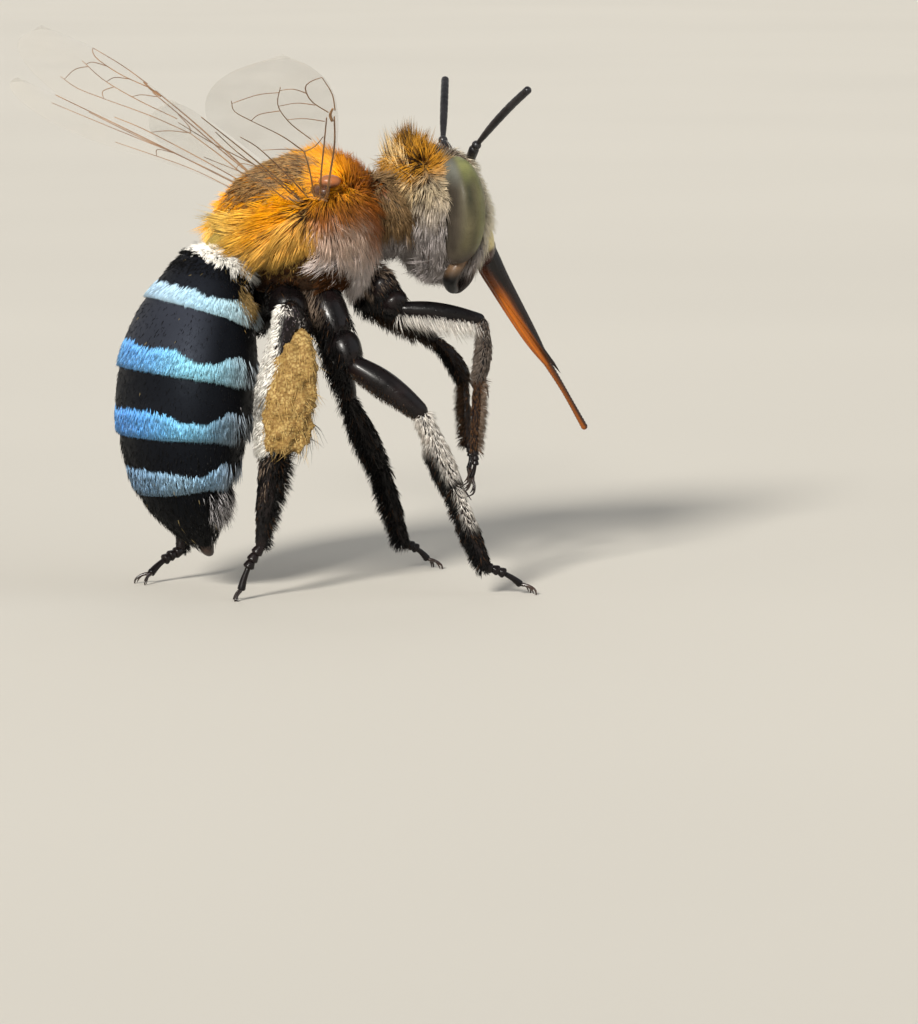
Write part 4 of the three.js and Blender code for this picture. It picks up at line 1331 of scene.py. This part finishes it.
def headHair(points, normals, uv, rng):
    x, _, z = placeIn(headForm, points).T
    count = len(points)
    rightHand = toRight(points)
    rim = fall(depthIn(eyeDome, rightHand), 1.1, 1.5) * (placeIn(eyeDome, rightHand)[:, 0] < 0)
    parting = -0.33 - (0.78 - z) * 0.5
    behind, upper = fall(x - parting, -0.04, 0.04), ramp(z, 0.12, 0.32)
    crest = ramp(z, 0.62, 0.82) * ramp(x, -0.66, -0.5) * fall(x, -0.3, -0.16)
    front = ramp(z, 0.6, 0.78) * ramp(x, -0.3, -0.14)
    nape = fall(x, -0.62, -0.48) * ramp(z, 0.32, 0.55)
    face = ramp(x, 0.42, 0.6) * fall(z, 0.55, 0.75)
    under = fall(z, -0.65, -0.35)
    lay = np.tile([0.08, 0, -1.0], (count, 1))
    lay = layered(lay,
        ((0.9, 0, -0.45), upper * (1 - behind)), ((-0.55, 0, -0.75), upper * behind))
    lay = blend(lay, np.array([0.1, 0, 1.0]), crest) + crest[:, None] * rng.normal(0, 0.3, (count, 3))
    lay = layered(lay,
        ((-1.0, 0, 0.6), nape), ((0.2, 0, 1.0), front), ((-0.12, 0, -1.0), under), ((0.3, 0, -0.9), face))
    lift = 0.5 + 0.8 * crest + 0.2 * nape + 0.6 * front + 0.5 * face + 0.2 * rim
    lift = lift + 0.12 * under + 0.6 * fall(z, -0.9, -0.7)
    length = 0.46 + 0.54 * crest + 0.54 * nape - 0.08 * upper * (1 - behind) - 0.1 * face
    length = length - 0.2 * face * (z < -0.25) + 0.12 * under - 0.04 * rim
    shorter = np.where(rng.random(count) < 0.14, 0.2, 0.72)
    length = length * (1 + 0.25 * lumps(points, 0.25, 14) * crest) * (1 - front * shorter)
    hue = headMarks(points)
    # darker roots and brighter tips: painted shade deep in the coat
    root, tip = hue * (0.9 + 0.08 * np.maximum(nape, face))[:, None], hue * 1.18
    darkTip = ramp(z, 0.66, 0.8) * crest * (rng.random(count) < 0.9)
    tip = blend(tip, hues["dark"], darkTip * 0.92)
    # dark short hair in the gap between the back of the head and the thorax: painted shade
    holeShade = spot(x, z, -0.68, 0.08, 0.5, 0.1) + spot(x, z, -0.8, 0.05, 0.36, 0.14)
    seam = peak(x, parting, 0.045) * ramp(z, 0.0, 0.3) * fall(z, 0.85, 0.95)
    share = 0.03 * (1 - face) * (1 - nape) + 0.06 * crest + 0.4 * front + 0.4 * seam
    dark = (rng.random(count) < share + 0.95 * np.clip(1.3 * holeShade, 0, 1))[:, None]
    root, tip = np.where(dark, hues["dark"] * 0.8, root), np.where(dark, hues["brown"] * 0.55, tip)
    length = length * (1 - 0.55 * np.clip(1.2 * holeShade, 0, 1)) * (1 - 0.3 * seam)
    return lay, lift, length, root, tip, 0.3 + 0.25 * crest + 0.2 * nape


def headWeight(points, normals, uv):
    x, _, z = placeIn(headForm, points).T
    rightHand = toRight(points)
    inEye = depthIn(eyeDome, rightHand) < 0.98
    crown = ramp(z, 0.6, 0.78) * ramp(x, -0.2, 0.0)
    more = 1 + 2.2 * fall(z, -0.65, -0.4) + 0.8 * ramp(z, 0.35, 0.6) * fall(x, -0.3, -0.1)
    clear = ~inEye * (depthIn(clypeusForm, points) > 0.8) * (depthIn(thoraxForm, points, -0.4) > 1.0)
    return clear * (1 - 0.8 * crown) * more


for side, sign in sides.items():
    form = {"seed": 51 + sign, "count": 13200, "half": 0.0095, "locks": 620, "stray": 0.13, "droop": 0.25,
        "vary": 0.18}
    weight = lambda p, n, w, sign=sign: headWeight(p, n, w) * (p[:, 1] * sign > 0)
    growCoat("head_coat_" + side, headSkin, form, headHair, weight)


def neckHair(points, normals, uv, rng):
    hue = blend(paint(164, 132, 92) * 0.74, hues["deep"] * 0.42, fall(points[:, 0], 0.0, 0.4))
    hue = blend(hues["fog"] * 0.6, hue, ramp(points[:, 2], 7.3, 7.6))
    lay, one = np.tile([0.1, 0, -1.0], (len(points), 1)), np.ones(len(points))
    # darker roots and brighter tips: painted shade deep in the coat
    return lay, one * 0.6, one * 0.45, hue * 0.8, hue * 1.05


def neckWeight(points, normals, uv):
    clear = (depthIn(headForm, points, -0.2) > 1) * (depthIn(thoraxForm, points, -0.4) > 1)
    return clear * (0.9 + 0.4 * (points[:, 2] < 8.1))


neckCoat = {"seed": 59, "count": 3900, "half": 0.0105, "locks": 160, "droop": 0.2}
growCoat("neck_coat", closedSurface(neckShape, 40, 30), neckCoat, neckHair, neckWeight)


# abdomen: a bright band of flat hair along the rear of four plates, and thin dark hair between
def abdomenStrip(begin, end, around=96, along=14):
    # the outside of the plates from t = begin to t = end, open at both ends
    u, v = np.meshgrid(np.arange(around + 1) / around, np.linspace(0, 1, along + 1))
    t, ends = begin + (end - begin) * v.ravel(), np.array([0.0, *abdomenForm["ringEnds"]])
    plate = np.clip(np.searchsorted(ends, t, side="right") - 1, 0, 4)
    points = abdomenPoint(u.ravel(), t, plateStand((t - ends[plate]) / (ends[plate + 1] - ends[plate])))
    i, j = np.meshgrid(np.arange(around), np.arange(along))
    i, j = i.ravel(), j.ravel()
    row = around + 1
    quads = np.stack([j * row + i, j * row + i + 1, (j + 1) * row + i + 1, (j + 1) * row + i], 1)
    flatUv = np.stack([u.ravel(), v.ravel()], 1)
    surface = {"points": points, "quads": quads, "quadUv": flatUv[quads],
        "tris": np.zeros((0, 3), int), "triUv": np.zeros((0, 3, 2))}
    middle = spline(abdomenForm["line"], (begin + end) / 2)
    if np.einsum("ij,ij->i", pointNormals(surface), points - middle).mean() < 0:
        surface["quads"], surface["quadUv"] = surface["quads"][:, ::-1], surface["quadUv"][:, ::-1]
    return surface


for i in range(len(bands)):
    end = abdomenForm["ringEnds"][i] - 0.002
    begin = end - 0.15
    form = {"seed": 61 + i, "count": 6100, "half": 0.0125, "locks": 900, "gather": 0.25, "stray": 0.1,
        "droop": 0.18, "tint": 0.08, "vary": 0.08}

    def bandHair(points, normals, uv, rng, i=i, begin=begin, end=end):
        t = begin + (end - begin) * uv[:, 1]
        share = aroundShare(uv[:, 0])
        hue, side = bandHue(i, uv[:, 0]), ramp(share, 0.5, 0.68)
        room = (end - t) * abdomenForm["long"]
        length = np.minimum(0.27 + 0.12 * side, room + 0.05 + 0.1 * side)
        # darker roots and brighter tips: painted shade deep in the coat
        return tailward(t), 0.16 + 0.3 * side, length, hue * 0.82, hue * 1.07

    def bandWeight(points, normals, uv, i=i, begin=begin, end=end):
        return bandCover(i, uv[:, 0], begin + (end - begin) * uv[:, 1], points)

    strip = abdomenStrip(begin, end, 200, 40)
    growCoat("abdomen_band_" + str(i + 1), strip, form, bandHair, bandWeight, bandMaterial)


def goldenTuft(t, share):
    # where a tuft of straw hair stands on each flank
    return peak(t, 0.1, 0.05) * peak(share, 0.66, 0.08)


def tailPatch(t, share):
    # where long silver hairs stand on each side of the tail
    return ramp(t, 0.75, 0.79) * fall(t, 0.86, 0.9) * ramp(share, 0.46, 0.56) * fall(share, 0.76, 0.86)


plateEnd = 0.97  # where along the abdomen the dark hair ends


def plateHair(points, normals, uv, rng):
    # short and black, longer at the front rim and under the tail, where silver is mixed in
    t, share = plateEnd * uv[:, 1], aroundShare(uv[:, 0])
    front, silver, golden = fall(t, 0.02, 0.07), tailPatch(t, share), goldenTuft(t, share)
    under = ramp(share, 0.55, 0.7)
    length = 0.12 + 0.1 * ramp(t, 0.5, 0.72) + 0.05 * front + 0.2 * silver + 0.3 * golden
    hue = np.tile(hues["black"] * 0.6, (len(points), 1))
    hue = layered(hue,
        (paint(204, 200, 202), rng.random(len(points)) < 0.55 * silver + 0.1 * under),
        (paint(150, 132, 92), rng.random(len(points)) < 0.008),
        (paint(148, 122, 76), rng.random(len(points)) < golden * 1.3))
    lay = tailward(t) + 0.2 * normals
    lift = 0.4 + 0.15 * front + 0.5 * silver + 0.4 * golden
    # darker roots and brighter tips: painted shade deep in the coat
    return lay, lift, length, hue * 0.6, hue * 1.1


def plateWeight(points, normals, uv):
    t, share = plateEnd * uv[:, 1], aroundShare(uv[:, 0])
    plain = 0.2 + 0.9 * fall(t, 0.03, 0.07) + 0.3 * ramp(t, 0.55, 0.8)
    return plain + 1.3 * tailPatch(t, share) + 5 * goldenTuft(t, share)


plateCoat = {"seed": 71, "count": 7800, "half": 0.0085, "droop": 0.25, "tint": 0.15}
strip = abdomenStrip(0.0, plateEnd, 90, 120)
growCoat("abdomen_coat", strip, plateCoat, plateHair, plateWeight, darkCoatMaterial)


def domeHair(points, normals, uv, rng):
    # white hair over the front slope, lying outwards from the waist, and black on its upper rim
    white = ramp(points[:, 0], -3.45, -3.25) * (1 - 0.3 * ramp(uv[:, 1], 0.85, 0.95))
    hue = blend(hues["black"], hues["white"], rng.random(len(points)) < white)
    out = unit(points - spline(abdomenForm["line"], 0.0))
    length = 0.15 + 0.2 * white * ramp(points[:, 0], -3.3, -2.8)
    # darker roots and brighter tips: painted shade deep in the coat
    return out, 0.34 + 0.5 * (1 - white), length, hue * 0.9, hue * 1.1


def domeWeight(points, normals, uv):
    return (uv[:, 1] < 0.95) * (0.35 + ramp(points[:, 0], -3.5, -3.2))


firstPlate = plateShape(0.0, abdomenForm["ringEnds"][0], False)
domeSkin = closedSurface(lambda u, v: firstPlate(u, 0.2 * np.minimum(v, 0.999)), 60, 24)
domeCoat = {"seed": 72, "count": 5400, "half": 0.011, "locks": 220, "gather": 0.3, "stray": 0.12,
    "droop": 0.25,
    "tint": 0.08}
growCoat("abdomen_front_coat", domeSkin, domeCoat, domeHair, domeWeight)

# legs: each limb's coat has a short lie all round and a longer fringe to one side
rearward, forward, downward = np.array([[-1.0, 0, 0], [1, 0, 0], [0, 0, -1]])
# limb: count, short hair's length, colour; fringe's side, length, colour; share of the short hair
legCoats = {
    "front_right": {"hip": (900, 0.2, "mouse", downward, 0.26, "mouse", 0.8),
        "femur": (400, 0.04, "black", downward + rearward * 0.5, 0.5, "chalk", 0.05),
                    "tibia": (1700, 0.14, "ash", rearward, 0.17, "ash", 1.0),
                    "basitarsus": (1300, 0.14, "brown", forward, 0.24, "mouse", 0.8)},
    "front_left": {"hip": (600, 0.3, "dark", downward, 0.3, "dark", 0.8),
        "femur": (700, 0.12, "black", downward, 0.3, "dark", 0.3),
                   "tibia": (700, 0.16, "dark", rearward, 0.24, "black", 0.8),
                   "basitarsus": (800, 0.16, "dark", rearward, 0.26, "dark", 0.8)},
    "middle_right": {"hip": (900, 0.2, "black", rearward, 0.3, "mouse", 0.4),
        "femur": (420, 0.05, "black", downward + rearward, 0.13, "dark", 0.12),
                     "tibia": (3200, 0.22, "chalk", rearward + downward * 0.5, 0.26, "black", 1.0),
                     "basitarsus": (1900, 0.2, "chalk", rearward, 0.24, "black", 1.0)},
    "middle_left": {"hip": (500, 0.2, "black", downward, 0.3, "dark", 0.4),
        "femur": (700, 0.12, "black", downward, 0.26, "black", 0.4),
                    "tibia": (1500, 0.24, "black", rearward, 0.32, "black", 1.0),
                    "basitarsus": (1500, 0.22, "black", rearward, 0.28, "black", 1.0)},
    "hind_right": {"hip": (600, 0.14, "black", downward, 0.2, "black", 0.5),
        "femur": (1100, 0.14, "black", downward, 0.24, "grey", 0.5),
                   "tibia": (4200, 0.26, "black", rearward, 0.26, "white", 1.0),
                   "basitarsus": (2000, 0.22, "black", forward, 0.46, "black", 1.0)},
    "hind_left": {"hip": (500, 0.14, "black", downward, 0.2, "black", 0.5),
        "femur": (800, 0.14, "black", downward, 0.24, "black", 0.5),
                  "tibia": (2600, 0.26, "black", rearward, 0.26, "white", 1.0),
                  "basitarsus": (1800, 0.22, "black", forward, 0.4, "black", 1.0)},
}


def limbCoat(leg, limb):
    count, short, shortHue, fringeWay, fringe, fringeHue, share = legCoats[leg][limb]
    start, end = legJoints[leg][limbNames.index(limb):][:2]
    along, long = unit(end - start), np.linalg.norm(end - start)
    fringeWay = unit(fringeWay - along * (fringeWay @ along))
    hindTibia, hindFoot = (leg.startswith("hind") and limb == name for name in ("tibia", "basitarsus"))
    comb = leg == "front_right" and limb == "femur"

    def rule(points, normals, uv, rng):
        s = np.clip((points - start) @ along / long, 0, 1)
        facing = normals @ fringeWay
        toFringe = ramp(facing, 0.2, 0.75)
        length = short + (fringe - short) * toFringe
        if hindTibia:  # white along the rear edge, longer black hair ahead of the lower half
            toFringe = ramp(facing - 0.4 * fall(s, 0.2, 0.4), 0.0, 0.3)
            toFringe = toFringe * (1 - 0.6 * ramp(s, 0.5, 0.6) * fall(s, 0.68, 0.8))
            bare = ramp(-facing, -0.45, -0.2) * fall(s, 0.2, 0.34)  # a mauve knee, capped with white
            length = length * (0.6 + 0.4 * ramp(s, 0.15, 0.4)) * (1 - 0.45 * bare)
            length = length + 0.16 * ramp(-facing, 0.1, 0.5) * ramp(s, 0.4, 0.7)
        hue = blend(hues[shortHue], hues[fringeHue], toFringe)
        if hindTibia:
            hue = layered(hue,
                (paint(84, 74, 80), bare), ("white", fall(s, 0.0, 0.05) * ramp(facing, -0.3, 0.1)))
        if leg == "middle_right" and limb == "tibia":  # black along the rear edge, more towards the ankle
            hue = blend(hues["chalk"], hues["black"],
                np.maximum(toFringe * ramp(s, 0.25, 0.5), ramp(s, 0.8, 0.92)))
        if leg == "middle_right" and limb == "basitarsus":
            hue = blend(hue, hues["black"], ramp(s, 0.34, 0.56))
        if limb == "hip":
            hue = blend(hue, hues["black"], ramp(s, 0.25, 0.5))
        if hindFoot:  # shorter towards the toes, with grey fuzz behind the upper half
            length = length * (1 - 0.6 * s)
            fuzz = (rng.random(len(points)) < 0.25) * ramp(-facing, 0.1, 0.5) * fall(s, 0.35, 0.6)
            hue = blend(hue, hues["mouse"], fuzz)
        hue = blend(hue, hues["brown"], (rng.random(len(points)) < 0.08) * 0.6)
        lay = along + fringeWay * (1.6 if comb else 0.8) * toFringe[:, None]
        pale = hue.max(1) > 0.5
        raised = 0.75 if limb in ("femur", "basitarsus") else 0.4
        lift = np.where(pale & (limb != "femur"), 0.5 if hindTibia else 0.2, 0.35 + raised * toFringe)
        # darker roots and brighter tips: painted shade deep in the coat
        root = hue * np.where(pale, 0.92, 0.75)[:, None]
        return lay, lift, length, root, hue * 1.1

    dense, edge, half = (3.8, 0.1, 0.013) if hindTibia else (1.6, 0.3, 0.0055 if comb else 0.0095)

    def weight(points, normals, uv):
        return share + (dense - share) * ramp(normals @ fringeWay, edge, 0.8)

    return {"count": count, "half": half}, rule, weight


for n, leg in enumerate(legJoints):
    for m, limb in enumerate(limbNames[:4]):
        form, rule, weight = limbCoat(leg, limb)
        black = leg.endswith("left") or leg.startswith("hind") or limb == "femur"
        form.update(seed=81 + 4 * n + m, locks=form["count"] // hairsToLock, gather=0.3, stray=0.14,
            droop=0.25, tint=0.12, vary=0.12)
        material = darkCoatMaterial if black else coatMaterial
        growCoat(limb + "_coat_" + leg, limbSurface(leg, limb, 30), form, rule, weight, material)


def scopaHair(points, normals, uv, rng):
    # straw hairs lie down the outside of the pollen, and black ones curve round its lower front
    low = ramp(4.6 - points[:, 2], 0, 1.2) * ramp(normals[:, 0], 0.2, 0.7)
    hue = blend(paint(206, 172, 108), hues["black"], rng.random(len(points)) < low * 0.9)
    lay = np.tile([0.12, 0, -1.0], (len(points), 1))
    # darker roots and brighter tips: painted shade deep in the coat
    return lay, 0.22 + 0.4 * low, 0.34 + 0.1 * low, hue * 0.8, hue * 1.1


for side, mass in pollenMass.items():
    form = {"seed": 111, "count": 420, "half": 0.0055, "locks": 110, "stray": 0.14}
    weight = lambda p, n, w, side=side: ramp(n[:, 1] * sides[side], -0.4, 0.1) + ramp(n[:, 0], 0.3, 0.7)
    growCoat("scopa_" + side, mass, form, scopaHair, weight)


# stage: a pale floor that rises into its own backdrop, soft lights and the camera
stageForm = {"flat": 600.0, "reach": 1700.0, "height": 330.0, "colour": paint(206, 201, 191)}


def makeStage():
    # a dish: flat to its radius, then rising as a smooth step to its rim
    around, steps = 96, 60
    radius = np.concatenate([[0.0], np.linspace(20, stageForm["reach"], steps)])
    height = stageForm["height"] * ramp(radius, stageForm["flat"], stageForm["reach"])
    angle = np.arange(around) / around * 2 * np.pi
    across, forth = np.outer(radius[1:], np.cos(angle)), np.outer(radius[1:], np.sin(angle))
    ring = np.stack([across, forth, np.repeat(height[1:, None], around, 1)], 2).reshape(-1, 3)
    points = np.concatenate([ring, [[0, 0, 0]]]) * metre
    i, j = np.meshgrid(np.arange(around), np.arange(steps - 1))
    i, j = i.ravel(), j.ravel()
    k = (i + 1) % around
    quads = np.stack([j * around + i, (j + 1) * around + i, (j + 1) * around + k, j * around + k], 1)
    middle = np.stack([np.full(around, len(ring)), np.arange(around), (np.arange(around) + 1) % around], 1)
    mesh = bpy.data.meshes.new("floor")
    mesh.from_pydata(points.tolist(), [], quads.tolist() + middle.tolist())
    mesh.polygons.foreach_set("use_smooth", np.full(len(mesh.polygons), True))
    finish = Finish("floor", Specular_IOR_Level=0.2)
    cloud = finish.span(finish.noise(0.02, 2), 0.3, 0.7)
    finish.surface(Base_Color=finish.mix(cloud, stageForm["colour"] * 0.96, stageForm["colour"]),
        Roughness=0.85)
    mesh.materials.append(finish.material)
    floor = bpy.data.objects.new("floor", mesh)
    bpy.context.scene.collection.objects.link(floor)
    floor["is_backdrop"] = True


makeStage()
cameraForm = {"azimuth": 20.0, "elevation": 6.0, "distance": 150.0, "across": 3.208, "up": 1.583,
    "tall": 64 / 3}
lights = {  # where each soft sun stands, how strong and how wide it is, and its colour
    "key": ((-0.64, -0.74, 0.47), 5.3, 12, (1.0, 0.965, 0.9)),
    "fill": ((0.75, -0.6, 0.35), 0.8, 70, (0.92, 0.96, 1.0)),
    "back": ((0.2, 0.9, 0.5), 0.5, 60, (1.0, 0.98, 0.95)),
}


lampDistance = 0.2
skyColour, skyStrength = (0.93, 0.96, 1.0, 1), 0.3


def turnToward(thing, aim):
    # its -Z axis points at the aim, with its Y axis up
    way = Vector(aim) - thing.location
    thing.rotation_mode = "QUATERNION"
    thing.rotation_quaternion = way.to_track_quat("-Z", "Y")


def makeLights():
    for name, (place, strength, wide, colour) in lights.items():
        data = bpy.data.lights.new(name, "SUN")
        data.energy, data.angle, data.color = strength, math.radians(wide), colour
        lamp = bpy.data.objects.new(name, data)
        lamp.location = np.array(place) * lampDistance
        bpy.context.scene.collection.objects.link(lamp)
        turnToward(lamp, (0, 0, 0))
    world = bpy.data.worlds.new("studio")
    world.use_nodes = True
    sky = world.node_tree.nodes["Background"]
    sky.inputs["Color"].default_value, sky.inputs["Strength"].default_value = skyColour, skyStrength
    bpy.context.scene.world = world
    bpy.context.scene.view_settings.view_transform = "Standard"


def makeCamera():
    a, e = math.radians(cameraForm["azimuth"]), math.radians(cameraForm["elevation"])
    rightward = np.array([math.cos(a), -math.sin(a), 0])
    upward = np.array([math.sin(e) * math.sin(a), math.sin(e) * math.cos(a), math.cos(e)])
    forward = np.array([math.sin(a) * math.cos(e), math.cos(a) * math.cos(e), -math.sin(e)])
    aim = cameraForm["across"] * rightward + cameraForm["up"] * upward - [originX, 0, 0]
    data = bpy.data.cameras.new("camera")
    sensor = 36
    data.sensor_fit, data.sensor_width = "AUTO", sensor
    data.lens = sensor * cameraForm["distance"] / cameraForm["tall"]
    data.clip_start, data.clip_end = 0.001, 10
    camera = bpy.data.objects.new("camera", data)
    camera.location = (aim - forward * cameraForm["distance"]) * metre
    bpy.context.scene.collection.objects.link(camera)
    turnToward(camera, aim * metre)
    bpy.context.scene.camera = camera


makeLights()
makeCamera()
low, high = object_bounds()
